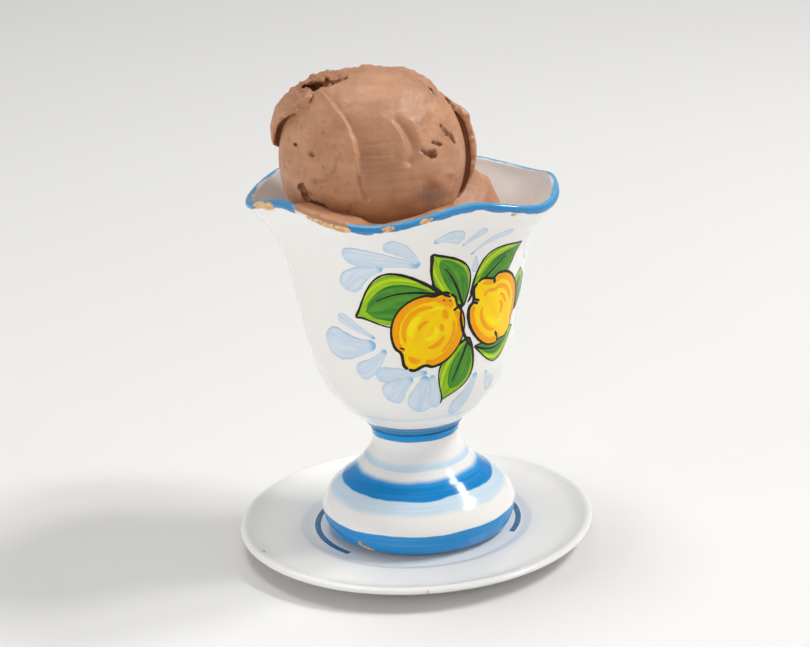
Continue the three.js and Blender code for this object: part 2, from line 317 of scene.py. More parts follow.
def outside_line():
    fine = lambda radius, height: 0.3 if height < 5 or 33 < height < 41 else 0.9
    line = smooth_line(OUTSIDE, spacing=fine)
    return line[line[:, 1] < SHOULDER_HEIGHT - 0.2]


def wall_unevenness(azimuth, height):
    """The gentle unevenness of a wall thrown by hand."""
    return 0.10 * np.sin(3 * azimuth + 0.045 * height) + 0.06 * np.sin(5 * azimuth - 0.11 * height + 1.0)


def cup_rows(azimuths):
    """Radii and heights of every row round the cup, from the underside over the lip to the inner bottom."""
    lip_radius, lip_height = rim_at(azimuths)
    rows = [(r + 0 * azimuths, h + 0 * azimuths) for r, h in FOOT_UNDERSIDE]
    for r, h in outside_line():
        uneven = wall_unevenness(azimuths, h) * smooth(30, 60, h)
        rows.append((r + uneven, h + 0 * azimuths))
    for t in 1 - np.linspace(1, 0, 34) ** 1.25:
        r, h = flare_outside(t, azimuths)
        rows.append((r + wall_unevenness(azimuths, h) * (1 - t), h))
    for angle in np.radians(np.linspace(-32, 148, 18)):
        rows.append((lip_radius + LIP_RADIUS * np.cos(angle), lip_height + LIP_RADIUS * np.sin(angle)))
    for t in np.linspace(0.04, 0.96, 18):
        rows.append(flare_inside(t, azimuths))
    for r, h in smooth_line(INSIDE, 26)[:-1]:
        rows.append((r + 0 * azimuths, h + 0 * azimuths))
    return rows


def chip_field(places, chips, grain):
    """How far inside a chip each place is: 0 at its ragged edge, positive inside. Places and chips are in mm."""
    field = np.full(len(places), -2.0)
    for along, across, half_length, half_height in chips:
        away = np.hypot((places[:, 0] - along) / half_length, (places[:, 1] - across) / half_height)
        reach = math.sqrt(half_length * half_height)
        field = np.maximum(field, (1 - away) * reach + 0.45 * grain)
    return field


def build_cup():
    azimuths = cup_azimuths()
    rows = np.array([ring(r, h, azimuths) for r, h in cup_rows(azimuths)])
    steps = np.linalg.norm(np.diff(rows, axis=0), axis=2)
    travelled = np.concatenate([np.zeros((1, len(azimuths))), np.cumsum(steps, axis=0)])
    top = np.argmax(rows[:, :, 2].mean(axis=1))
    from_lip = travelled[top] - travelled
    lip_radius = rim_at(azimuths)[0]
    along_rim = np.broadcast_to(np.where(azimuths > math.pi, azimuths - 2 * math.pi, azimuths) * 48, from_lip.shape)
    noise = Noise(11)
    flat = rows.reshape(-1, 3)
    grain = noise.rough(flat, 1.6, 2)
    rim_places = np.stack([along_rim.ravel(), from_lip.ravel()], axis=1)
    foot_places = np.stack([along_rim.ravel() * 32 / 48, flat[:, 2] + 200.0 * (from_lip.ravel() < 60)], axis=1)
    rim_chips = [(math.radians(a) * 48, w, length, tall) for a, w, length, tall in RIM_CHIPS]
    foot_chips = [(math.radians(a) * 32, h, length, tall) for a, h, length, tall in FOOT_CHIPS]
    chip = np.maximum(chip_field(rim_places, rim_chips, grain), chip_field(foot_places, foot_chips, grain))
    points, faces = closed_rows(rows)
    pad = lambda values: np.concatenate([[values[0]], values, [values[-1]]])
    chip, from_lip = pad(chip), pad(from_lip.ravel())
    depth = 0.42 * smooth(-0.05, 0.3, chip) + 0.12 * np.maximum(chip, 0)
    normals = rough_normals(points, faces)
    points = points - normals * np.minimum(depth, 0.8)[:, None]
    worn = between(np.degrees(along_rim.ravel() / 48) + 3 * grain, *WORN_RIM, 2)
    values = {"from_lip": from_lip, "chip": chip, "worn": pad(worn)}
    cup = make_piece("cup_body", points, faces, ["cup"], values)
    cup.data.materials.append(cup_glaze())
    return cup


def rough_normals(points, faces):
    """Normals at the points, from the four-cornered faces round them."""
    quads = np.array([f for f in faces if len(f) == 4])
    across = np.cross(points[quads[:, 2]] - points[quads[:, 0]], points[quads[:, 3]] - points[quads[:, 1]])
    normals = np.zeros_like(points)
    for k in range(4):
        np.add.at(normals, quads[:, k], across)
    return normals / np.maximum(np.linalg.norm(normals, axis=1), 1e-9)[:, None]


# ------------------------------------------------------------------ the saucer
# Chips of the saucer's edge: x, y and reach.
SAUCER_CHIPS = [
    (-50.8, -23.0, 0.8),
    (2.6, -59.6, 0.2),
]
RING_CENTRE = (0.5, 1.8)  # the blue ring was printed a little off the saucer's centre
RING = (33.4, 35.2)  # its inner and outer radius
RING_BREAK = (math.radians(-42), math.radians(65))  # in front, between these azimuths, there is no ring


def build_saucer():
    azimuths = np.linspace(0, 2 * math.pi, 480, endpoint=False)
    fine = lambda radius, height: 0.45 if radius > 54 or 35 < radius < 40 else 1.6
    line = np.vstack([smooth_line(SAUCER_UNDERSIDE, spacing=fine), smooth_line(SAUCER_TOP, spacing=fine)])
    line = line[line[:, 0] > 0.5]
    rows = np.array([ring(r, h, azimuths) for r, h in line])
    points, faces = closed_rows(rows)
    noise = Noise(23)
    out = np.hypot(points[:, 0], points[:, 1])
    points[:, 2] += 0.12 * noise(points * [1, 1, 0], 45) * smooth(40, 58, out)
    grain = noise.rough(points, 1.8, 2)
    chip = np.full(len(points), -2.0)
    for x, y, reach in SAUCER_CHIPS:
        away = np.hypot(points[:, 0] - x, points[:, 1] - y)
        chip = np.maximum(chip, reach - away + 0.8 * grain)
    depth = 0.35 * smooth(-0.05, 0.35, chip)
    points = points - rough_normals(points, faces) * depth[:, None]
    saucer = make_piece("saucer_plate", points, faces, ["saucer"], {"chip": chip}, place=(0, 0, 0))
    saucer.data.materials.append(saucer_glaze())
    return saucer


# ------------------------------------------------------------------ the painting on the bowl
# Places are on the unrolled wall: s to the right of the front, h above the cup's base. A leaf or a fruit lies
# between two sides that run from its stem to its tip; a brush line has a width at each place.
PAINT_RADIUS = 38.0  # s is an azimuth in radians times this
PAINT_LAYER = 0.012  # each later layer of paint lies this much further out
PAINT_DEPTH = 0.05  # and reaches this far into the glaze


def wall_point(places, lift):
    """Points on the outside of the bowl, `lift` outwards, for places on the unrolled wall."""
    azimuths = places[:, 0] / PAINT_RADIUS
    heights = places[:, 1]
    line = np.vstack([outside_line(), [SHOULDER_RADIUS, SHOULDER_HEIGHT]])
    radii = np.interp(heights, line[:, 1], line[:, 0])
    radii = radii + wall_unevenness(azimuths, heights) * smooth(30, 60, heights)
    shares = np.linspace(0, 1, 40)
    flare = [flare_outside(t, azimuths) for t in shares]
    flare_radii = np.array([r + wall_unevenness(azimuths, h) * (1 - t) for t, (r, h) in zip(shares, flare)])
    flare_heights = np.array([h + 0 * azimuths for _, h in flare])
    above = np.clip((flare_heights < heights).sum(axis=0), 1, len(shares) - 1)
    column = np.arange(len(azimuths))
    low, high = flare_heights[above - 1, column], flare_heights[above, column]
    share = np.clip((heights - low) / (high - low), 0, 1)
    on_flare = flare_radii[above - 1, column] * (1 - share) + flare_radii[above, column] * share
    radii = np.where(heights > SHOULDER_HEIGHT, on_flare, radii)
    return ring(radii + lift, heights, azimuths)


class Paint:
    """The brushwork of one colour: closed films that follow the wall."""

    def __init__(self, name, layer, seed):
        self.name = name
        self.lift = 0.02 + PAINT_LAYER * layer
        self.draw = np.random.default_rng(seed)
        self.points, self.faces = [], []
        self.values = {"along": [], "across": [], "stroke": []}
        self.count = 0

    def film(self, left, right, across_steps):
        """A film between two sides, each with the same number of places."""
        share = np.linspace(0, 1, across_steps + 1)[:, None, None]
        places = (left[None] * (1 - share) + right[None] * share).reshape(-1, 2)
        rows, columns = across_steps + 1, len(left)
        outer = wall_point(places, self.lift)
        inner = wall_point(places, -PAINT_DEPTH)
        at = self.count + np.arange(rows * columns).reshape(rows, columns)
        under = at + rows * columns
        top = [at[:-1, :-1], at[:-1, 1:], at[1:, 1:], at[1:, :-1]]
        bottom = [under[:-1, :-1], under[1:, :-1], under[1:, 1:], under[:-1, 1:]]
        edge = np.concatenate([at[0, :-1], at[:-1, -1], at[-1, :0:-1], at[:0:-1, 0]])
        lower = edge + rows * columns
        sides = [edge, lower, np.roll(lower, -1), np.roll(edge, -1)]
        for corners in (top, bottom, sides):
            self.faces += np.stack([c.ravel() for c in corners], axis=-1).tolist()
        self.points += [outer, inner]
        along = np.tile(np.linspace(0, 1, columns), rows * 2)
        across = np.tile(np.repeat(np.linspace(-1, 1, rows), columns), 2)
        self.values["along"].append(along)
        self.values["across"].append(across)
        self.values["stroke"].append(np.full(len(along), self.draw.random()))
        self.count += len(along)

    def fill(self, sides, inset=0.0, steps=30, across_steps=12):
        left, right = (smooth_line(side, steps) for side in sides)
        middle = (left + right) / 2
        width = np.linalg.norm(left - right, axis=1)[:, None] + 1e-6
        share = np.minimum(inset / width * 2, 0.8)
        self.film(left + (middle - left) * share, right + (middle - right) * share, across_steps)

    def line(self, places, blunt=0.5, uneven=0.06):
        """A brush line through places with widths, rounded at both ends."""
        length = np.linalg.norm(np.diff(np.array(places)[:, :2], axis=0), axis=1).sum()
        line = smooth_line(places, max(8, int(length / 0.55)))
        heading = np.gradient(line[:, :2], axis=0)
        heading /= np.linalg.norm(heading, axis=1)[:, None]
        beside = np.stack([-heading[:, 1], heading[:, 0]], axis=1)
        travelled = np.concatenate([[0], np.cumsum(np.linalg.norm(np.diff(line[:, :2], axis=0), axis=1))])
        cap = blunt * line[:, 2]
        from_start = np.clip(travelled / cap, 0, 1)
        from_end = np.clip((travelled[-1] - travelled) / cap, 0, 1)
        round_ends = np.sqrt(np.maximum(1 - (1 - from_start) ** 2, 0.01) * np.maximum(1 - (1 - from_end) ** 2, 0.01))
        wave = 1 + uneven * np.sin(travelled * 1.7 + self.draw.random() * 6) + uneven * 0.5 * np.sin(travelled * 4.1)
        half = (line[:, 2] / 2 * round_ends * wave)[:, None]
        self.film(line[:, :2] - beside * half, line[:, :2] + beside * half, 4 if line[:, 2].max() < 1.4 else 10)

    def outline(self, sides, widths):
        """Lines along both sides of a leaf or fruit, swelling and thinning as a brush does."""
        for side, width in zip(sides, widths):
            swell = width * (1 + 0.35 * np.sin(np.linspace(0.3, 5.2, len(side)) + self.draw.random() * 3))
            self.line([(s, h, w) for (s, h), w in zip(side, swell)], blunt=0.8)

    def build(self, material):
        values = {key: np.concatenate(numbers) for key, numbers in self.values.items()}
        points = np.concatenate(self.points)
        piece = make_piece(self.name, points, self.faces, values=values)
        piece.data.materials.append(material)
        return piece


class Leaf:
    """A leaf on the unrolled wall: its midrib bows between stem and tip, and its halves swell from it.

    `uneven` makes its left half wider and its right half narrower by that share, and `point` sharpens its tip.
    """

    def __init__(self, stem, tip, bow, half_width, fullest=0.5, uneven=0.0, point=0.3):
        self.stem, self.tip = np.array(stem, float), np.array(tip, float)
        self.bow, self.half_width, self.fullest = bow, half_width, fullest
        self.uneven, self.point = uneven, point
        run = self.tip - self.stem
        self.left_of_run = np.array([-run[1], run[0]]) / np.linalg.norm(run)

    def place(self, along, beside):
        """A place `along` the leaf from 0 to 1, `beside` its midrib from -1, the right edge, to 1, the left."""
        bulge = math.log(0.5) / math.log(self.fullest)
        swell = np.maximum(np.sin(math.pi * along**bulge), 0) ** (0.5 + self.point * along)
        width = beside + self.uneven * abs(beside)
        out = self.bow * np.sin(math.pi * along) + width * self.half_width * swell
        return self.stem + np.multiply.outer(along, self.tip - self.stem) + np.multiply.outer(out, self.left_of_run)

    def stroke(self, beside, start, end, width, taper=0.5):
        """A brush line along the leaf that thins towards its end."""
        along = np.linspace(start, end, 9)
        places = np.array([self.place(a, beside) for a in along])
        return np.column_stack([places, width * (1 - taper * np.linspace(0, 1, 9) ** 1.5)])

    def sides(self, left, right, start=0.0, end=1.0):
        """Two sides of a part of the leaf, which meet at its start and end."""
        along = np.linspace(start, end, 13)
        pinch = np.maximum(np.sin(math.pi * (along - start) / (end - start)), 0) ** 0.35
        middle = (left + right) / 2
        return [[self.place(a, middle + (b - middle) * p) for a, p in zip(along, pinch)] for b in (left, right)]


class Lemon:
    """A lemon on the unrolled wall. Angles are measured about its centre from the end with the nipple.

    `square` is 1 for an ellipse and less for a boxier outline.
    """

    def __init__(self, centre, half_length, half_width, lean, nipple, knob, square=1.0):
        self.centre = np.array(centre, float)
        self.half_length, self.half_width = half_length, half_width
        self.nipple, self.knob = nipple, knob
        self.lean, self.square = math.radians(lean), square

    @staticmethod
    def bulge(degrees):
        """1 at an end of the fruit, falling to a dip on both sides of it; the angle is from that end."""
        away = abs((degrees + 180) % 360 - 180)
        return math.exp(-((away / 15) ** 4)) - 0.5 * math.exp(-(((away - 24) / 8) ** 2))

    def place(self, degrees, share=1.0):
        """A place at an angle, at a share of the way from the centre to the outline."""
        angle = math.radians(degrees)
        cosine, sine = (math.copysign(abs(f(angle)) ** self.square, f(angle)) for f in (math.cos, math.sin))
        along = self.half_length * cosine + self.nipple * self.bulge(degrees)
        along -= self.knob * self.bulge(degrees - 180)
        across = self.half_width * sine
        heading = np.array([math.cos(self.lean), math.sin(self.lean)])
        beside = np.array([-heading[1], heading[0]])
        return self.centre + share * (along * heading + across * beside)

    def sides(self):
        return [[self.place(turn * a) for a in np.linspace(180, 0, 37)] for turn in (1, -1)]

    def arc(self, share, start, end, width):
        """A brush line that follows the outline further in."""
        angles = np.linspace(start, end, 9)
        swell = width * (0.6 + 0.4 * np.sin(np.linspace(0, math.pi, 9)))
        return [(*self.place(a, share), w) for a, w in zip(angles, swell)]


def sweep(start, heading, length, turn, width, petal=False):
    """One stroke of a brush: where it touches down, its heading in degrees, and how far it turns on its way.

    A line is widest in the middle, and a petal widens to a round end.
    """
    shares = np.linspace(0, 1, 9)
    angles = np.radians(heading + turn * shares)
    step = length / 8 * np.stack([np.cos(angles), np.sin(angles)], axis=1)
    places = np.array(start) + np.vstack([[0, 0], np.cumsum(step[:-1], axis=0)])
    swell = 0.3 + 0.7 * smooth(0, 0.8, shares) if petal else np.sin(math.pi * (0.14 + 0.72 * shares))
    return np.column_stack([places, width * swell])


# Each leaf with its lit side (1 left of its run, -1 right), where its dark half ends, and its outline's widths.
LEAVES = [
    (
        Leaf(stem=(10, 92), tip=(-17.8, 84.6), bow=-4.6, half_width=9.4, fullest=0.48, uneven=0.22, point=0.5),
        -1,
        0.85,
        (0.7, 0.85),
    ),
    (Leaf(stem=(17.5, 86.5), tip=(7, 106), bow=-1.3, half_width=5.8), 1, 0.85, (0.95, 0.65)),
    (Leaf(stem=(20, 90), tip=(40, 103), bow=1.7, half_width=6.2), 1, 0.95, (0.7, 0.55)),
    (Leaf(stem=(45.5, 78.5), tip=(44.5, 93), bow=0, half_width=6.4), 1, 0.8, (0.45, 0.4)),
    (Leaf(stem=(20.5, 75.5), tip=(11.5, 54), bow=0.6, half_width=6.8, fullest=0.52), -1, 0.8, (0.65, 0.75)),
    (Leaf(stem=(23, 71.5), tip=(45.5, 73), bow=-3.6, half_width=5.4, fullest=0.6), -1, 0.85, (0.5, 0.45)),
]

# Each lemon with its outline's widths, its amber lines, its palest lines and its notches. A line lies at a share
# of the way out, from one angle to another, with a width. A notch runs in from the outline at an angle, to a
# share of the way out, with a width.
LEMONS = [
    (
        Lemon(centre=(6, 79.5), half_length=12.8, half_width=12.2, lean=240, nipple=1.9, knob=1.2),
        (0.85, 0.95),
        [
            (0.89, -165, -22, 2.6),
            (0.67, -160, -38, 1.7),
            (0.88, 22, 155, 2.9),
            (0.82, 163, 197, 2.9),
            (0.60, 150, 176, 2.0),
            (0.70, 60, 138, 1.2),
            (0.45, 25, 100, 1.7),
            (0.36, 112, 150, 1.6),
            (0.28, -150, -70, 1.3),
            (0.76, -12, 14, 2.0),
        ],
        [(0.48, -125, -45, 2.4), (0.20, 0, 160, 2.0), (0.62, 175, 215, 1.3)],
        [(157, 0.84, 0.9)],
    ),
    (
        Lemon(centre=(31.9, 82.6), half_length=12.6, half_width=11.5, lean=311, nipple=1.2, knob=2.0, square=0.92),
        (0.65, 0.85),
        [
            (0.88, -150, -20, 2.2),
            (0.88, 175, 15, 2.2),
            (0.62, 190, 60, 1.5),
            (0.58, -150, -45, 1.5),
            (0.22, 110, 0, 1.5),
            (0.40, 60, 130, 1.1),
        ],
        [(0.40, -110, -10, 2.0), (0.42, 150, 60, 1.4)],
        [(156, 0.82, 1.0), (204, 0.82, 1.0), (-28, 0.86, 0.9)],
    ),
]

# Single strokes: where the brush touches down, its heading in degrees, length, turn and width.
STEMS = [
    ((7, 96), -58, 8.5, 40, 1.1),
    ((17, 87), -95, 17.5, 55, 1.1),
    ((19, 87.5), 60, 4.5, 15, 0.8),
    ((21.5, 88.5), -40, 2.5, 30, 0.9),
    ((32.5, 74.5), -50, 3, -10, 1.1),
    ((-4, 74.5), -20, 2, 0, 0.7),
    ((10.5, 90), -25, 0.8, 0, 0.6),
    ((12.5, 89.5), -25, 0.8, 0, 0.5),
    ((11.5, 55), -100, 2.5, 0, 0.7),
]
WASHES = [
    ((3.4, 102.4), 163, 22, 14, 7.0),
    ((3.4, 102.4), 118, 13, 40, 5.0),
    ((-7, 102), 188, 15.5, 56, 7.4),
    ((-11.9, 77.5), 151, 14.5, -2, 3.6),
    ((-12, 75.7), 197, 20.5, -40, 12.0),
    ((-8.8, 73.8), 236, 15.5, -42, 6.4),
    ((5.3, 65), 180, 18.8, 4, 5.6),
    ((0, 63.5), 210, 13.5, 20, 9.4),
    ((4.8, 64), 256, 14.5, 6, 11.0),
    ((7, 64), 282, 13, -4, 6.4),
    ((25.4, 61.8), 258, 17, -44, 7.6),
    ((30.7, 61), -50, 11, 8, 5.4),
    ((7.4, 109.8), 26, 9.6, -62, 4.6),
    ((16, 107.2), 32, 8.7, 0, 2.2),
    ((19, 103.7), 38, 13.6, -26, 1.9),
    ((21, 103), 265, 5.5, 10, 2.6),
    ((42.7, 105.2), -60, 11.4, -14, 1.5),
    ((51, 77.5), -78, 7.5, -10, 2),
]


def build_painting():
    washes = Paint("paint_pale_blue", 0, 1)
    light = Paint("paint_leaf_light", 1, 2)
    sheen = Paint("paint_leaf_bright", 2, 3)
    shade = Paint("paint_leaf_dark", 3, 4)
    leaf_lines = Paint("paint_leaf_lines", 4, 5)
    yellow = Paint("paint_lemon", 5, 6)
    pale = Paint("paint_lemon_pale", 6, 7)
    amber = Paint("paint_lemon_amber", 7, 8)
    fruit_lines = Paint("paint_lemon_lines", 8, 9)
    for stroke in WASHES:
        washes.line(sweep(*stroke, petal=True), uneven=0.03)
    for leaf, lit, dark_to, outline in LEAVES:
        light.fill(leaf.sides(0.94, -0.94))
        sheen.line(leaf.stroke(0.7 * lit, 0.2, 0.9, 1.1), blunt=1.5)
        shade.fill(leaf.sides(0.45 * lit, -0.8 * lit, 0.05, dark_to))
        leaf_lines.line(leaf.stroke(0.0, 0.02, 0.7, 0.9, taper=0.6), blunt=1.0)
        leaf_lines.outline(leaf.sides(1, -1), outline)
    for lemon, outline, arcs, pale_arcs, notches in LEMONS:
        yellow.fill(lemon.sides(), inset=0.35, steps=60, across_steps=24)
        fruit_lines.outline(lemon.sides(), outline)
        for angle, inwards, width in notches:
            fruit_lines.line([(*lemon.place(angle, share), width) for share in np.linspace(1, inwards, 4)])
        for arc in arcs:
            amber.line(lemon.arc(*arc), blunt=0.9)
        for arc in pale_arcs:
            pale.line(lemon.arc(*arc), blunt=1.0)
    for stroke in STEMS:
        fruit_lines.line(sweep(*stroke), blunt=0.6)
    washes.build(wash_paint())
    light.build(brush_paint("leaf_light", (0.36, 0.60, 0.015), (0.20, 0.44, 0.012)))
    sheen.build(brush_paint("leaf_bright", (0.55, 0.74, 0.02), (0.42, 0.64, 0.015)))
    shade.build(brush_paint("leaf_dark", (0.10, 0.34, 0.025), (0.035, 0.18, 0.03)))
    leaf_lines.build(brush_paint("leaf_lines", (0.022, 0.018, 0.014), (0.012, 0.011, 0.009)))
    yellow.build(brush_paint("lemon", (0.98, 0.66, 0.0), (0.96, 0.56, 0.0)))
    pale.build(brush_paint("lemon_pale", (1.0, 0.80, 0.005), (0.98, 0.72, 0.002)))
    amber.build(brush_paint("lemon_amber", (0.90, 0.31, 0.0), (0.94, 0.42, 0.0)))
    fruit_lines.build(brush_paint("lemon_lines", (0.022, 0.018, 0.014), (0.012, 0.011, 0.009)))


# ------------------------------------------------------------------ the upper scoop
# Its own frame: across to the right, up, and along the axis that its smooth crown faces. `turn` runs round the
# crown in degrees, 0 to the right and 90 up; `tilt` is the angle from the crown's middle.
SCOOP_RADIUS = 29.7
SCOOP_CENTRE = np.array([-9.5, -6.5, 129.0])
SCOOP_TILT = math.radians(15)
SCOOP_FRAME = np.array(
    [
        [1, 0, 0],
        [0, math.sin(SCOOP_TILT), math.cos(SCOOP_TILT)],
        [0, -math.cos(SCOOP_TILT), math.sin(SCOOP_TILT)],
    ]
)
SCOOP_GRID = 0.42  # spacing of the grid that its surface is drawn from

# How far the skirt of gelato round the crown stands out: turn and reach, of the flap at the upper left and of
# the shell on the right.
FLAP_REACH = [(104, 0), (115, 1.0), (122, 1.9), (130, 2.6), (138, 3.9)]
FLAP_REACH += [(149, 4.9), (160, 4.1), (168, 2.7), (176, 0)]
SHELL_REACH = [(-34, 0), (-24, 1.4), (-8, 3.3), (4, 3.8), (17, 3.5), (21, 4.2), (26, 3.2), (32, 1.4), (42, 0)]
# Where the skirt ends towards the crown: turn and tilt.
SKIRT_EDGE = [(-60, 95), (-30, 91), (-10, 88), (30, 87), (50, 88), (80, 83), (92, 77), (104, 66)]
SKIRT_EDGE += [(113, 66), (125, 66), (132, 62), (136, 57), (145, 59), (153, 70), (161, 84), (171, 90), (185, 92)]
# How crumbly the surface is: turn and share.
CRUMBLY = [(30, 0), (40, 0.35), (84, 0.35), (97, 0.55), (108, 1), (134, 1), (146, 0)]
TOP_FLAT = 0.9  # the ball is this much flatter at the top

# What is torn or pressed out of the surface: places across and up, how far outside the ball their line lies,
# radius, raggedness, and how far the hole goes straight back.
CARVINGS = [
    ([(-20.2, 21.2), (-16.2, 22.7)], 0.4, 2.0, 1.3, 6.0),  # the crumbly hollow at the upper left
    ([(-15.8, 22.7), (-11.6, 23.5)], 0.2, 1.3, 1.4, 4.5),
    ([(-10.4, 23.6), (-7.0, 24.5)], 0.1, 0.8, 1.4, 2.0),
    ([(-5.0, 26.6), (-4.0, 26.7)], 0, 0.5, 0.9, 0),
    ([(16.2, 0.2), (18.9, -0.5)], -0.2, 1.2, 0.8, 1.6),  # the pit
    ([(19.1, 3.1), (21.6, 2.4)], -0.1, 0.6, 0.5, 0.8),  # the slot above it
    ([(21.8, 8.5), (22.6, 6.8)], 0, 0.4, 0.9, 0.8),  # the cracks beside the shell
    ([(22.9, 6.3), (24.4, 5.1)], 0, 0.4, 0.9, 0.8),
    ([(25.0, 4.8), (26.3, 2.1)], 0, 0.4, 0.9, 0.8),
    ([(25, 17), (27.5, 13)], 0.3, 0.9, 1.6, 0),
    ([(11, 26.6), (13, 25.6)], 0, 0.5, 1.4, 0),
    ([(15.2, 24.0), (17.2, 22.4)], 0, 0.6, 1.5, 0),
    ([(19.3, 20.6), (21.2, 18.2)], 0, 0.6, 1.5, 0),
    ([(2.6, 27.6), (3.4, 26.4)], 0, 0.6, 0.5, 0),
    ([(-23.2, 4.8), (-22.9, 4.4)], -0.3, 0.55, 0.1, 0.9),
    ([(-19.3, 2.4), (-18, 0.9)], 0, 0.5, 1.0, 0),
    ([(-21.6, -8.3), (-20.7, -10.5), (-19.8, -12.5)], 0, 1.1, 1.5, 2.2),
    ([(-20.6, -15.3), (-18.9, -14.0), (-15.5, -15.4), (-13.9, -16.8)], 0, 1.0, 1.5, 2.2),
]
# Creases pressed into the crown, and ridges, which have a negative depth: places across and up, half width, depth.
CREASES = [
    ([(-10, -1), (-11, -4), (-12.5, -6), (-15, -7.2), (-18.5, -7.2)], 0.45, 0.7),
    ([(-3.6, -7), (-3.2, -10), (-2.0, -13.5)], 0.6, 0.8),
    ([(8.8, 9.7), (11.0, 6.3), (12.5, 2.9), (13.3, 0.3), (11.9, -2.6)], 1.3, 0.9),
    ([(7.8, 9.1), (10.2, 3.7), (9.3, -0.2)], 1.0, -0.45),
    ([(12.8, 10), (15.2, 5), (15.8, 0)], 1.2, -0.4),
]
CRACKS = (24.0, 5.3, 3.6)  # the cracked place beside the shell: across, up, radius
# Soft dents and bumps: across, up, radius, height.
SWELLS = [(15, 17, 1.8, -0.5), (18.5, 15, 1.6, -0.5), (24.5, -6.5, 1.3, 0.8), (17.5, -12, 4, -0.7), (17, 12, 2, 0.4)]
SWELLS += [(-15, 7, 2.2, -0.3), (-9, 12, 3, 0.35), (4, -6, 3.5, -0.35), (20, -9, 1.6, 0.4), (-14, -11.5, 2.5, 0.5)]


def between(value, low, high, fade):
    return smooth(low - fade, low + fade, value) * (1 - smooth(high - fade, high + fade, value))


def smooth_max(a, b, blend):
    """The larger of two fields, rounded over `blend` where they meet."""
    near = np.maximum(blend - np.abs(a - b), 0) / blend
    return np.maximum(a, b) + near**2 * blend / 4


def line_distance(points, line):
    """Distance from points to a line of straight stretches, in two or three dimensions."""
    nearest = np.full(len(points), np.inf)
    for start, end in zip(line, line[1:]):
        run = end - start
        share = np.clip((points - start) @ run / (run @ run), 0, 1)
        nearest = np.minimum(nearest, np.linalg.norm(points - start - share[:, None] * run, axis=1))
    return nearest


def on_crown(places, out):
    """Points `out` from the ball's surface for places across and up."""
    flat = np.array(places, float)
    along = np.sqrt(np.maximum((SCOOP_RADIUS + out) ** 2 - (flat**2).sum(axis=1), 0))
    return np.column_stack([flat, along])


def turn_of(points):
    return (np.degrees(np.arctan2(points[:, 1], points[:, 0])) + 60) % 360 - 60


def skirt_reach(turn):
    """How far the skirt stands out: the shell, the flap, and torn scraps between them."""
    scraps = 0.35 * between(turn, 34, 112, 6) * np.sin(np.radians(turn * 9)) ** 2
    scraps += 0.8 * between(turn, 48, 66, 6)
    return np.interp(turn, *zip(*SHELL_REACH)) + np.interp(turn, *zip(*FLAP_REACH)) + scraps


def skirt_gap(turn):
    return 1.6 * between(turn, -22, 24, 8) + 1.7 * between(turn, 150, 180, 6)


def ball_radius(turn, tilt):
    return SCOOP_RADIUS - TOP_FLAT * between(turn, 73, 113, 5) * smooth(45, 75, tilt)


def scoop_field(points, rough):
    """Below zero inside the scoop, about the distance in mm from its surface."""
    out = np.maximum(np.linalg.norm(points, axis=1), 1e-6)
    turn = turn_of(points)
    tilt = np.degrees(np.arccos(np.clip(points[:, 2] / out, -1, 1)))
    mm_per_degree = math.radians(SCOOP_RADIUS)
    crumbly = np.interp(turn, *zip(*CRUMBLY))
    above_ball = out - ball_radius(turn, tilt)
    ball = above_ball - 0.9 * rough * smooth(95, 125, tilt)
    edge = np.interp(turn, *zip(*SKIRT_EDGE)) + (1.6 + 3.6 * crumbly) * rough
    thickness = 0.62 + 0.38 * smooth(60, 88, tilt)
    backwards = np.clip((150 - tilt) / 45, 0, 1)
    reach = (skirt_reach(turn) + (0.15 + 0.8 * crumbly) * rough) * thickness * backwards
    skirt = smooth_max(above_ball - reach, (edge - tilt) * mm_per_degree, 1.4)
    field = np.minimum(ball, skirt)
    groove_end = np.where(turn < 90, 94, edge + 15)
    groove = np.maximum(0.05 - above_ball, above_ball - skirt_gap(turn))
    groove = np.maximum(groove, (tilt - groove_end) * mm_per_degree)
    field = np.maximum(field, -groove)
    for places, outside, radius, ragged, depth in CARVINGS:
        line = on_crown(places, outside)
        reach = radius + 2 * ragged + 1
        lowest, highest = line.min(axis=0) - reach - [0, 0, depth], line.max(axis=0) + reach
        near = np.all((points > lowest) & (points < highest), axis=1)
        for back in np.arange(0, depth + 0.1, max(radius, 0.8)):
            away = line_distance(points[near] + [0, 0, back], line)
            field[near] = np.maximum(field[near], radius + ragged * rough[near] - away)
    return field


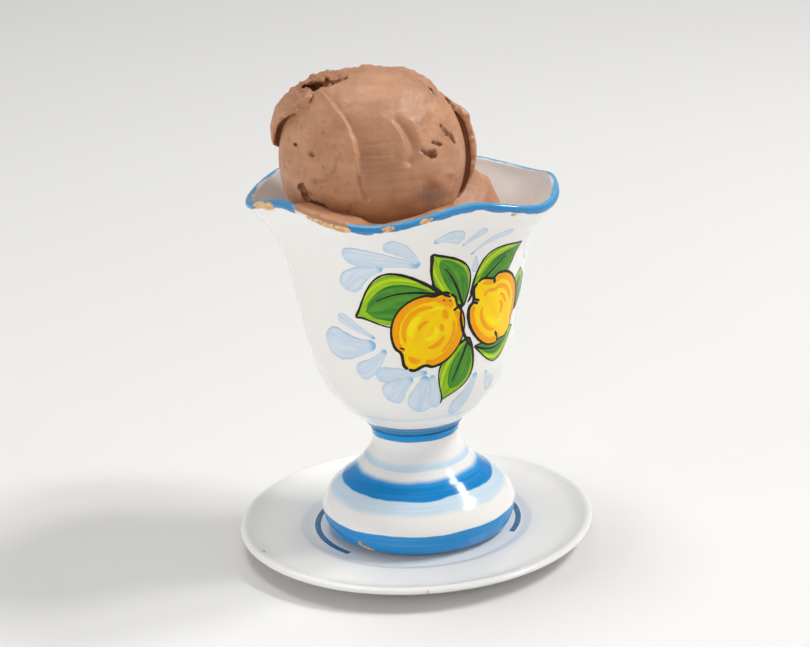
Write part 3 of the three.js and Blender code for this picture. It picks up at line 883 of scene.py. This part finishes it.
def draw_surface(field, low, spacing):
    """A mesh of four-cornered faces round where a field on a grid is below zero: its largest island."""
    inside = field < 0
    cells = np.array(field.shape) - 1
    total = np.zeros((*cells, 3), np.float32)
    count = np.zeros(cells, np.float32)
    crossings = []
    for axis in range(3):
        first = np.moveaxis(field, axis, 0)
        crossed = np.moveaxis(inside, axis, 0)
        crossed = crossed[:-1] != crossed[1:]
        share = np.where(crossed, first[:-1] / np.where(crossed, first[:-1] - first[1:], 1), 0)
        crossed, share = np.moveaxis(crossed, 0, axis), np.moveaxis(share, 0, axis)
        crossings.append(crossed)
        others = [k for k in range(3) if k != axis]
        for corner in np.ndindex(2, 2):
            window = [slice(None)] * 3
            for other, step in zip(others, corner):
                window[other] = slice(step, step + cells[other])
            here = crossed[tuple(window)]
            count += here
            total[..., axis] += share[tuple(window)]
            for other, step in zip(others, corner):
                total[..., other] += here * step
    active = count > 0
    number = np.full(cells, -1)
    number[active] = np.arange(active.sum())
    points = low + spacing * (np.argwhere(active) + total[active] / count[active][:, None])
    faces = []
    for axis, crossed in enumerate(crossings):
        b, c = (axis + 1) % 3, (axis + 2) % 3
        at = np.argwhere(crossed)
        at = at[(at[:, b] > 0) & (at[:, c] > 0) & (at[:, b] < cells[b]) & (at[:, c] < cells[c])]
        step_b, step_c = np.eye(3, dtype=int)[[b, c]]
        quads = [number[tuple((at - k).T)] for k in (step_b + step_c, step_c, 0 * step_c, step_b)]
        quads = np.stack(quads, axis=1)
        outwards = inside[tuple(at.T)]
        faces.append(np.where(outwards[:, None], quads, quads[:, ::-1]))
    return largest_island(points, np.concatenate(faces))


def largest_island(points, faces):
    label = np.arange(len(points))
    while True:
        lowest = label[faces].min(axis=1)
        before = label.copy()
        np.minimum.at(label, faces.ravel(), np.repeat(lowest, 4))
        label = label[label]
        if np.array_equal(label, before):
            break
    keep = label == np.bincount(label).argmax()
    renumber = np.cumsum(keep) - 1
    return points[keep], renumber[faces[keep[faces[:, 0]]]]


def fold_centre(up):
    """Where the raised fold down the crown's left half lies, across, at a place up."""
    above = np.maximum(up, 0)
    return -3.4 - 0.13 * above - 0.0185 * above**2


def crown_relief(points, noise):
    """Heights of the fold, creases, swells and the fine streaks of the scoop's blade on the crown."""
    across, up = points[:, 0], points[:, 1]
    facing = smooth(2, 8, points[:, 2])
    from_fold = across - fold_centre(up)
    length = smooth(-8, -1, up) * (1 - smooth(19.5, 21.5, up))
    from_edge = from_fold + 0.5 + 0.35 * noise(points, 5.0) + 0.3 * noise(points, 1.8)
    fold = 1.3 * smooth(-8, -0.4, from_edge) * (1 - smooth(-0.1, 0.4, from_edge))
    lip = 0.8 * np.exp(-(((from_edge + 0.55) / 0.45) ** 2))
    relief = length * (fold + lip)
    relief += 0.35 * noise(points, 12.0) + 0.2 * noise(points, 4.5) + 0.1 * noise(points, 1.8)
    relief -= 0.35 * smooth(0.28, 0.5, noise(points + 50, 2.0)) * (1 - smooth(-4, 2, from_fold))
    x, y, radius = CRACKS
    cracked = np.exp(-((across - x) ** 2 + (up - y) ** 2) / radius**2)
    slanting = np.column_stack([across + 0.6 * up, 0.4 * up, 0 * up])
    relief -= 0.4 * cracked * (1 - smooth(0.04, 0.2, np.abs(noise(slanting, 1.9))))
    uneven = 0.9 + 0.5 * noise(points + 30, 5.0)
    for places, half_width, depth in CREASES:
        away = line_distance(points[:, :2], smooth_line(places, 20))
        relief -= depth * uneven * np.exp(-((away / half_width) ** 2))
        relief += 0.12 * depth * np.exp(-(((away - 2.2 * half_width) / half_width) ** 2))
    for x, y, radius, height in SWELLS:
        relief += height * np.exp(-((across - x) ** 2 + (up - y) ** 2) / radius**2)
    streaks = noise(np.column_stack([across * 0.07, up + 0.012 * across**2, 0 * up]), 1.1)
    swept_and_painted_shade = between(from_fold, 2.5, 9, 3) * between(up, -11, 12, 7)
    return facing * (relief + 0.09 * streaks * swept_and_painted_shade)


def build_upper_scoop(material):
    low = np.array([-37.0, -33.0, -32.0])
    high = np.array([37.0, 36.0, 32.0])
    axes = [np.arange(a, b, SCOOP_GRID) for a, b in zip(low, high)]
    grid = np.stack(np.meshgrid(*axes, indexing="ij"), axis=-1).reshape(-1, 3)
    field = np.linalg.norm(grid, axis=1) - SCOOP_RADIUS
    near = (field > -5) & (field < 6.5)
    noise = Noise(5)
    band = grid[near]
    field[near] = scoop_field(band, noise.rough(band, 2.6, 2))
    points, faces = draw_surface(field.reshape([len(a) for a in axes]), low, SCOOP_GRID)
    out = np.linalg.norm(points, axis=1)
    tilt = np.degrees(np.arccos(points[:, 2] / out))
    turn = turn_of(points)
    torn = smooth(0.2, 0.9, ball_radius(turn, tilt) - out)
    torn += 0.6 * smooth(80, 110, tilt) * (1 - between(turn, -28, 30, 6))
    torn = np.clip(torn + np.interp(turn, *zip(*CRUMBLY)) * smooth(58, 66, tilt), 0, 1)
    across, up = points[:, 0], points[:, 1]
    # A darker, greyer patch low on the right of the crown, over a soft dent.
    dark_patch = np.exp(-(((across - 17.5) / 4.5) ** 2) - ((up + 13.6) / 2.3) ** 2)
    from_fold = across - fold_centre(up)
    # The swept area right of the fold: its streaks in the relief are real, and its darker colour is painted shade where
    # the crown turns from the light.
    swept_and_painted_shade = smooth(-0.8, 2.5, from_fold) * (1 - smooth(1, 15, across)) * between(up, -10, 7, 8)
    swept_and_painted_shade *= smooth(5, 12, points[:, 2])
    relief = crown_relief(points, noise) + 0.45 * torn * noise.rough(points, 1.7, 2)
    points = points + rough_normals(points, faces) * relief[:, None]
    values = {"torn": torn, "dark_patch": dark_patch, "swept_and_painted_shade": swept_and_painted_shade}
    placed = points @ SCOOP_FRAME + SCOOP_CENTRE
    scoop = make_piece("scoop_upper", placed, faces.tolist(), ["gelato_upper_scoop"], values)
    scoop.data.materials.append(material)


# ------------------------------------------------------------------ the side scoop and the gelato in the bowl
SIDE_RADIUS = 25.5
SIDE_CENTRE = np.array([8.5, 8, 98.6])
FILL_LEVEL = 101.0
GAP = 0.3


def build_side_scoop(material):
    azimuths = np.linspace(0, 2 * math.pi, 260, endpoint=False)
    noise = Noise(31)
    rows = []
    for angle in np.radians(np.linspace(179, 1, 150)):
        direction = ring(math.sin(angle), math.cos(angle), azimuths)
        folds = 0.45 * np.sin(3.2 * np.arctan2(direction[:, 0], direction[:, 2]) + 0.6)
        folds += 0.8 * np.exp(-(((np.degrees(np.arctan2(direction[:, 0], direction[:, 2])) - 48) / 5) ** 2))
        radius = SIDE_RADIUS + folds + 0.5 * noise.rough(direction * 25, 9.0, 4)
        rows.append(SIDE_CENTRE + direction * radius[:, None])
    points, faces = closed_rows(np.array(rows))
    out = np.hypot(points[:, 0], points[:, 1])
    room = np.interp(points[:, 2], *zip(*[(h, r) for r, h in reversed(INSIDE)])) - GAP
    pull = np.where((points[:, 2] < SHOULDER_HEIGHT + 3) & (out > room), room / out, 1)
    points[:, :2] *= pull[:, None]
    values = {"torn": 0.3 * smooth(0, 0.5, noise(points, 4.0))}
    scoop = make_piece("scoop_side", points, faces, ["gelato_side_scoop"], values)
    scoop.data.materials.append(material)


def ledge(azimuths):
    """1 where the upper scoop was pressed down into a ledge against the rim, in front."""
    return between(np.degrees(np.arctan2(np.sin(azimuths), np.cos(azimuths))), -66, 36, 14)


def spill(azimuths):
    """1 where the ledge has spilled over the lip, in front on the left."""
    return between(np.degrees(np.arctan2(np.sin(azimuths), np.cos(azimuths))), -47, -18.5, 2.5)


# The cross-section of what spilled over: outwards and up from the middle of the lip.
SPILL_SECTION = [(-1.3, 0.7), (-0.6, 1.3), (0.5, 1.3), (1.3, 0.6), (1.8, 0.7), (1.6, 1.5), (0.4, 2.2), (-1.2, 2.0)]
SPILL_DIP = 1.2  # how far it dips from the lip towards the scoop


def build_fill(material):
    azimuths = np.linspace(0, 2 * math.pi, 420, endpoint=False)
    noise = Noise(43)
    top = 0.82 - 0.72 * ledge(azimuths)
    rows = [ring(r - GAP, h + 0.1, azimuths) for r, h in smooth_line(INSIDE, 30)[::-1] if r > 1]
    for share in np.linspace(0.1, 1, 12):
        radius, height = flare_inside(1 - share * (1 - top), azimuths)
        rows.append(ring(radius - GAP - 0.2, height - 0.05, azimuths))
    edge, height = flare_inside(top, azimuths)
    lip_radius, lip_height = rim_at(azimuths)
    ragged = noise(ring(50, 0, azimuths), 5.0)
    over = spill(azimuths)
    for step, (out, up) in enumerate(SPILL_SECTION):
        inwards = edge - GAP - 0.06 * step
        radius = inwards + over * (lip_radius + out + 0.4 * ragged - inwards)
        rows.append(ring(radius, height + over * (lip_height + up + 0.3 * ragged - height), azimuths))
    edge = edge - GAP - 0.6 + over * (lip_radius - 2.2 - edge)
    rise = height + over * (lip_height + 1.2 - height) - FILL_LEVEL + 0.3 * ledge(azimuths)
    for share in np.linspace(0.99, 0.03, 84):
        flat = ring(edge * share, 0, azimuths)
        bump = 0.7 * noise.rough(flat, 10.0, 4) * (1 - 0.4 * ledge(azimuths))
        dip = SPILL_DIP * over * (1 - smooth(0.86, 0.98, share))
        flat[:, 2] = FILL_LEVEL + rise * smooth(0.6, 0.84, share) + bump - dip
        rows.append(flat)
    points, faces = closed_rows(np.array(rows))
    values = {"torn": 0.5 * smooth(0.1, 0.5, noise(points, 3.0))}
    fill = make_piece("gelato_in_bowl", points, faces, ["gelato_fill"], values)
    fill.data.materials.append(material)


# ------------------------------------------------------------------ materials
class Look:
    """A material made of nodes on one Principled shader. Places reach its nodes in millimetres."""

    def __init__(self, name, **sockets):
        self.material = bpy.data.materials.new(name)
        self.material.use_nodes = True
        self.nodes = self.material.node_tree.nodes
        self.links = self.material.node_tree.links
        self.shader = self.nodes["Principled BSDF"]
        for socket, value in sockets.items():
            self.shader.inputs[socket.replace("_", " ")].default_value = value

    def node(self, kind, inputs=(), output=0, **settings):
        made = self.nodes.new("ShaderNode" + kind)
        for key, value in settings.items():
            setattr(made, key, value)
        for key, value in dict(inputs).items():
            if isinstance(value, bpy.types.NodeSocket):
                self.links.new(value, made.inputs[key])
            else:
                made.inputs[key].default_value = value
        return made.outputs[output]

    def places(self, stretch=(1, 1, 1)):
        """Object coordinates in millimetres, divided along each axis by `stretch`."""
        here = self.node("TexCoord", output="Object")
        scale = tuple(1000.0 / s for s in stretch)
        return self.node("VectorMath", {0: here, 1: scale}, operation="MULTIPLY")

    def value(self, name):
        return self.node("Attribute", output="Fac", attribute_name=name)

    def math(self, operation, a, b=0.0, clamp=False):
        return self.node("Math", {0: a, 1: b}, operation=operation, use_clamp=clamp)

    def step(self, value, low, high, to_low=0.0, to_high=1.0):
        inputs = {"Value": value, "From Min": low, "From Max": high, "To Min": to_low, "To Max": to_high}
        return self.node("MapRange", inputs, interpolation_type="SMOOTHSTEP")

    def band(self, value, low, high, soft_low, soft_high):
        """1 between low and high, fading over the soft widths outside them."""
        rise = self.step(value, low - soft_low, low)
        fall = self.step(value, high, high + soft_high, 1.0, 0.0)
        return self.math("MULTIPLY", rise, fall)

    def noise(self, size, detail=2.0, stretch=(1, 1, 1), distortion=0.0, places=None):
        where = self.places(stretch) if places is None else places
        inputs = {"Vector": where, "Scale": 1.0 / size, "Detail": detail, "Distortion": distortion}
        return self.node("TexNoise", inputs, output="Fac")

    def mix(self, factor, a, b):
        colour = lambda c: c if isinstance(c, bpy.types.NodeSocket) else (*c, 1.0)
        made = self.nodes.new("ShaderNodeMix")
        made.data_type = "RGBA"
        for key, value in {0: factor, 6: colour(a), 7: colour(b)}.items():
            if isinstance(value, bpy.types.NodeSocket):
                self.links.new(value, made.inputs[key])
            else:
                made.inputs[key].default_value = value
        return made.outputs[2]

    def bump(self, height, distance, strength=1.0, under=None):
        """Relief of `distance` millimetres for a height from 0 to 1."""
        inputs = {"Height": height, "Distance": distance * MM, "Strength": strength}
        if under is not None:
            inputs["Normal"] = under
        return self.node("Bump", inputs, output="Normal")

    def finish(self, colour=None, roughness=None, normal=None):
        for key, socket in {"Base Color": colour, "Roughness": roughness, "Normal": normal}.items():
            if socket is not None:
                self.links.new(socket, self.shader.inputs[key])
        return self.material


GLAZE_WHITE = (0.87, 0.855, 0.835)
CLAY = (0.84, 0.57, 0.31)
CLAY_DARK = (0.62, 0.33, 0.15)
BLUE = (0.002, 0.29, 0.70)
DEEP_BLUE = (0.004, 0.09, 0.30)
LIGHT_BLUE = (0.36, 0.63, 0.86)
GLAZE_GLOSS = 0.13


def glaze_surface(look, chip):
    """Roughness and relief: glossy with a faint orange-peel, and matt grainy clay inside the chips."""
    matt = look.step(chip, -0.02, 0.06)
    soft = look.noise(9.0, 1.0)
    roughness = look.step(soft, 0.3, 0.7, GLAZE_GLOSS - 0.03, GLAZE_GLOSS + 0.05)
    roughness = look.math("MAXIMUM", roughness, look.math("MULTIPLY", matt, 0.85))
    peel = look.bump(look.noise(3.2, 2.0), 0.03)
    pores = look.bump(look.noise(0.9, 2.0), 0.014, under=peel)
    grains = look.math("MULTIPLY", look.noise(0.5, 4.0), matt)
    return matt, roughness, look.bump(grains, 0.25, under=pores)


def clay_colour(look, matt, glaze):
    clay = look.mix(look.step(look.noise(1.1, 3.0), 0.4, 0.62), CLAY, CLAY_DARK)
    return look.mix(matt, glaze, clay)


def cup_glaze():
    """White tin glaze with wheel-painted blue bands; the heights are above the cup's base."""
    look = Look("cup_glaze", IOR=1.52, Specular_IOR_Level=0.3)
    chip = look.value("chip")
    from_lip = look.value("from_lip")
    height = look.math("SUBTRACT", look.node("SeparateXYZ", {0: look.places()}, output=2), CUP_BASE)
    wobble = look.step(look.noise(14.0, 2.0), 0.0, 1.0, -0.55, 0.55)
    height = look.math("ADD", height, wobble)
    streaks = look.noise(1.0, 3.0, stretch=(26, 26, 0.55))
    fine_streaks = look.noise(1.0, 2.0, stretch=(60, 60, 0.22))
    thin = look.step(streaks, 0.3, 0.72)
    mottle = look.step(look.noise(0.7, 2.0), 0.35, 0.75)
    colour = look.mix(look.step(look.noise(30.0, 2.0), 0.3, 0.7), GLAZE_WHITE, (0.88, 0.86, 0.83))
    bands = [  # low, high, softness below and above, colour, how strong, how streaky
        (0.7, 8.3, 0.3, 0.45, (0.004, 0.27, 0.66), 1.0, 0.10),
        (15.2, 18.2, 1.8, 0.4, LIGHT_BLUE, 0.6, 0.5),
        (18.0, 21.6, 0.35, 1.8, BLUE, 1.0, 0.06),
        (18.3, 20.4, 0.8, 1.4, (0.002, 0.19, 0.52), 0.8, 0.9),
        (25.4, 26.0, 0.5, 1.9, LIGHT_BLUE, 0.6, 0.5),
        (34.3, 40.4, 0.3, 0.35, (0.008, 0.21, 0.44), 1.0, 0.2),
        (34.5, 36.5, 0.3, 0.7, BLUE, 0.9, 0.2),
        (36.7, 37.2, 0.35, 0.35, DEEP_BLUE, 0.8, 0.2),
        (39.8, 40.3, 0.4, 0.2, DEEP_BLUE, 0.7, 0.3),
        # A faint pale blue line low on the bowl: painted reflection.
        (45.2, 45.7, 0.5, 0.8, LIGHT_BLUE, 0.35, 0.6),
    ]
    for low, high, soft_low, soft_high, pigment, strength, streaky in bands:
        cover = look.band(height, low, high, soft_low, soft_high)
        worn = look.math("SUBTRACT", 1.0, look.math("MULTIPLY", thin, streaky * 0.55))
        cover = look.math("MULTIPLY", look.math("MULTIPLY", cover, worn), strength)
        colour = look.mix(cover, colour, pigment)
    lip_edge = look.math("ADD", from_lip, look.step(look.noise(7.0, 2.0), 0.0, 1.0, -1.1, 1.1))
    rim_cover = look.band(lip_edge, -0.2, 3.2, 0.8, 0.45)
    rim_cover = look.math("MULTIPLY", rim_cover, look.step(fine_streaks, 0.1, 0.5, 0.88, 0.99))
    rim_cover = look.math("MULTIPLY", rim_cover, look.math("SUBTRACT", 1.0, look.value("worn")))
    # The rim's blue is denser further down its outside, and lighter along the lip's top: a painted highlight.
    rim_depth = look.step(look.math("ADD", from_lip, look.step(mottle, 0, 1, -0.3, 0.3)), 0.0, 2.0)
    rim_blue_and_highlight = look.mix(rim_depth, (0.09, 0.38, 0.66), (0.03, 0.23, 0.50))
    colour = look.mix(rim_cover, colour, rim_blue_and_highlight)
    # The foot's lowest edge is painted dark grey: the bare foot, and painted contact shade where it stands on the
    # saucer.
    bare_foot_painted_shade = look.math("MULTIPLY", look.band(height, -1.0, 0.2, 0.1, 0.4), 0.8)
    colour = look.mix(bare_foot_painted_shade, colour, (0.30, 0.26, 0.22))
    matt, roughness, normal = glaze_surface(look, chip)
    return look.finish(clay_colour(look, matt, colour), roughness, normal)


def saucer_glaze():
    """White glaze with one printed blue ring on the well's floor."""
    look = Look("saucer_glaze", IOR=1.5, Specular_IOR_Level=0.3)
    chip = look.value("chip")
    x, y, z = (look.node("SeparateXYZ", {0: look.places()}, output=k) for k in range(3))
    x = look.math("SUBTRACT", x, RING_CENTRE[0])
    y = look.math("SUBTRACT", y, RING_CENTRE[1])
    level = look.node("CombineXYZ", {0: x, 1: y, 2: 0.0})
    out = look.node("VectorMath", {0: level}, output="Value", operation="LENGTH")
    colour = look.mix(look.step(look.noise(24.0, 2.0), 0.3, 0.7), (0.84, 0.825, 0.80), (0.86, 0.85, 0.83))
    azimuth = look.math("ARCTAN2", x, look.math("MULTIPLY", y, -1.0))
    plain = look.band(azimuth, *RING_BREAK, 0.015, 0.015)
    ring_cover = look.math("MULTIPLY", look.band(out, *RING, 0.15, 0.15), look.step(z, 3.5, 4.0))
    ring_cover = look.math("MULTIPLY", ring_cover, look.math("SUBTRACT", 1.0, plain))
    ring_cover = look.math("MULTIPLY", ring_cover, look.step(look.noise(0.9, 3.0), 0.2, 0.6, 0.85, 0.98))
    colour = look.mix(ring_cover, colour, (0.025, 0.15, 0.30))
    matt, roughness, normal = glaze_surface(look, chip)
    return look.finish(clay_colour(look, matt, colour), roughness, normal)


def brush_paint(name, colour, dense):
    """Glazed-over brush colour, streaked along the stroke."""
    look = Look(name, IOR=1.52, Roughness=GLAZE_GLOSS, Specular_IOR_Level=0.15)
    flow = look.node("CombineXYZ", {0: look.value("along"), 1: look.value("across"), 2: look.value("stroke")})
    flow = look.node("VectorMath", {0: flow, 1: (2.2, 3.6, 31.0)}, operation="MULTIPLY")
    streaks = look.noise(1.0, 3.0, places=flow, distortion=0.3)
    pooled = look.step(look.noise(3.0, 2.0), 0.35, 0.7)
    amount = look.math("ADD", look.step(streaks, 0.35, 0.68, 0.0, 0.8), look.math("MULTIPLY", pooled, 0.25), clamp=True)
    return look.finish(look.mix(amount, colour, dense), normal=look.bump(look.noise(3.2, 2.0), 0.03))


def wash_paint():
    """Thin blue wash: dense where the brush touched down, a little denser at its edges, pale elsewhere."""
    look = Look("pale_blue", IOR=1.52, Roughness=GLAZE_GLOSS, Specular_IOR_Level=0.3)
    along, across = look.value("along"), look.math("ABSOLUTE", look.value("across"))
    flow = look.node("CombineXYZ", {0: along, 1: look.value("across"), 2: look.value("stroke")})
    flow = look.node("VectorMath", {0: flow, 1: (1.6, 2.6, 31.0)}, operation="MULTIPLY")
    streaks = look.step(look.noise(1.0, 3.0, places=flow), 0.3, 0.7, -0.06, 0.12)
    touch = look.step(along, 0.02, 0.16, 0.5, 0.0)
    rim = look.step(across, 0.72, 1.0, 0.0, 0.10)
    far_end = look.step(along, 0.8, 1.0, 0.0, 0.10)
    density = look.math("ADD", look.math("ADD", touch, rim), look.math("ADD", far_end, streaks))
    density = look.math("ADD", density, 0.27, clamp=True)
    colour = look.mix(density, GLAZE_WHITE, (0.07, 0.42, 0.78))
    return look.finish(colour, normal=look.bump(look.noise(3.2, 2.0), 0.03))


def gelato_look():
    """Creamy chocolate: satin where it was smoothed, matt and darker where it is torn, with painted shade right of the
    fold and a darker patch low on the right.
    """
    look = Look("gelato", IOR=1.42, Specular_IOR_Level=0.8, Subsurface_Weight=0.18, Subsurface_Scale=0.0014)
    look.shader.inputs["Subsurface Radius"].default_value = (1.0, 0.45, 0.25)
    torn = look.value("torn")
    mottle = look.step(look.noise(9.0, 4.0), 0.3, 0.7)
    smears = look.step(look.noise(1.0, 4.0, stretch=(14, 14, 1.6)), 0.35, 0.7)
    colour = look.mix(mottle, (0.48, 0.228, 0.118), (0.57, 0.293, 0.162))
    colour = look.mix(look.math("MULTIPLY", smears, 0.35), colour, (0.39, 0.175, 0.087))
    # Painted shade: a darker, streaky brown over the swept area right of the fold.
    streaky_painted_shade = look.step(look.noise(1.0, 3.0, stretch=(16, 16, 0.8)), 0.3, 0.65, 0.3, 0.6)
    colour = look.mix(look.math("MULTIPLY", look.value("swept_and_painted_shade"), streaky_painted_shade), colour, (0.29, 0.122, 0.061))
    colour = look.mix(look.math("MULTIPLY", torn, 0.45), colour, (0.30, 0.128, 0.062))
    # The darker, greyer patch low on the right of the crown.
    colour = look.mix(look.math("MULTIPLY", look.value("dark_patch"), 0.65), colour, (0.17, 0.10, 0.075))
    sheen = look.step(look.noise(4.0, 4.0), 0.3, 0.7, 0.36, 0.55)
    roughness = look.math("MAXIMUM", sheen, look.math("MULTIPLY", torn, 0.75))
    grain = look.bump(look.noise(0.6, 5.0), 0.16)
    coarse = look.bump(look.math("MULTIPLY", look.noise(1.2, 4.0), torn), 0.6, under=grain)
    return look.finish(colour, roughness, coarse)


# ------------------------------------------------------------------ the stage, the light and the camera
def build_stage():
    bpy.ops.mesh.primitive_plane_add(size=6.0, location=(0, 0.8, 0))
    floor = bpy.context.object
    floor.name = "floor"
    look = Look("floor", Roughness=0.6)
    look.finish(look.mix(look.noise(400.0, 1.0), (0.80, 0.795, 0.785), (0.82, 0.815, 0.805)))
    floor.data.materials.append(look.material)


def area_light(name, towards, distance, size, power, colour=(1, 1, 1), glossy=True):
    """A soft light that shines on the cup from the direction `towards`; a fill light is not seen in the glaze."""
    light = bpy.data.lights.new(name, "AREA")
    light.shape = "DISK"
    light.size = size * MM
    light.energy = power
    light.color = colour
    lamp = bpy.data.objects.new(name, light)
    bpy.context.scene.collection.objects.link(lamp)
    direction = Vector(towards).normalized()
    lamp.location = Vector((0, 0, 0.08)) + direction * distance * MM
    lamp.rotation_euler = direction.to_track_quat("Z", "Y").to_euler()
    lamp.visible_glossy = glossy
    return lamp


def build_light():
    world = bpy.data.worlds.new("studio")
    bpy.context.scene.world = world
    world.use_nodes = True
    nodes, links = world.node_tree.nodes, world.node_tree.links
    where = nodes.new("ShaderNodeTexCoord")
    parts = nodes.new("ShaderNodeSeparateXYZ")
    links.new(where.outputs["Generated"], parts.inputs[0])
    behind = nodes.new("ShaderNodeMapRange")
    behind.interpolation_type = "SMOOTHSTEP"
    behind.inputs["From Min"].default_value = -0.9
    behind.inputs["From Max"].default_value = 0.6
    behind.inputs["To Min"].default_value = 0.28
    behind.inputs["To Max"].default_value = 0.34
    links.new(parts.outputs["Y"], behind.inputs["Value"])
    links.new(behind.outputs[0], nodes["Background"].inputs["Strength"])
    nodes["Background"].inputs["Color"].default_value = (1.0, 0.995, 0.985, 1)
    for towards in ((0.67, -0.05, 0.74), (0.63, 0.13, 0.77)):
        area_light("key", towards, 1800, 270, 10.0, (1.0, 0.99, 0.97))
    area_light("top", (-0.20, 0.15, 0.97), 2200, 840, 13.0)
    area_light("fill_left", (-0.88, -0.42, 0.16), 900, 600, 2.2, glossy=False)
    area_light("fill_front", (-0.2, -0.95, 0.20), 900, 600, 1.1, glossy=False)
    area_light("fill_right", (0.90, -0.30, 0.22), 900, 500, 1.0, glossy=False)
    for turn in (-0.025, 0.025):
        area_light("sparkle", (-0.92, 0.25 - turn, 0.32 + turn), 1200, 22, 0.12)
    backdrop = area_light("backdrop", (0, 0, 1), 1300, 1200, 6.0, glossy=False)
    backdrop.location.y = 2.0


# The view of the photograph: where the camera stands, how it points, and its lens.
CAMERA_PLACE = (1.1, -606.8, 275.2)
CAMERA_YAW = math.radians(-0.16)
CAMERA_PITCH = math.radians(18.19)
CAMERA_ROLL = math.radians(2.85)
CAMERA_LENS = 85.87
SENSOR_WIDTH = 36.0


def build_camera():
    ahead = Vector(
        (math.sin(CAMERA_YAW) * math.cos(CAMERA_PITCH), math.cos(CAMERA_YAW) * math.cos(CAMERA_PITCH),
         -math.sin(CAMERA_PITCH))
    )
    level = Vector((math.cos(CAMERA_YAW), -math.sin(CAMERA_YAW), 0))
    upright = level.cross(ahead)
    right = level * math.cos(CAMERA_ROLL) - upright * math.sin(CAMERA_ROLL)
    up = level * math.sin(CAMERA_ROLL) + upright * math.cos(CAMERA_ROLL)
    data = bpy.data.cameras.new("camera")
    data.lens = CAMERA_LENS
    data.sensor_width = SENSOR_WIDTH
    data.sensor_fit = "HORIZONTAL"
    camera = bpy.data.objects.new("camera", data)
    bpy.context.scene.collection.objects.link(camera)
    turn = Matrix((right, up, -ahead)).transposed()
    camera.matrix_world = Matrix.Translation(Vector(CAMERA_PLACE) * MM) @ turn.to_4x4()
    bpy.context.scene.camera = camera


# ------------------------------------------------------------------ everything together
bpy.context.scene.view_settings.view_transform = "Standard"
build_camera()
build_stage()
build_light()
build_cup()
build_saucer()
build_painting()
gelato = gelato_look()
build_upper_scoop(gelato)
build_side_scoop(gelato)
build_fill(gelato)
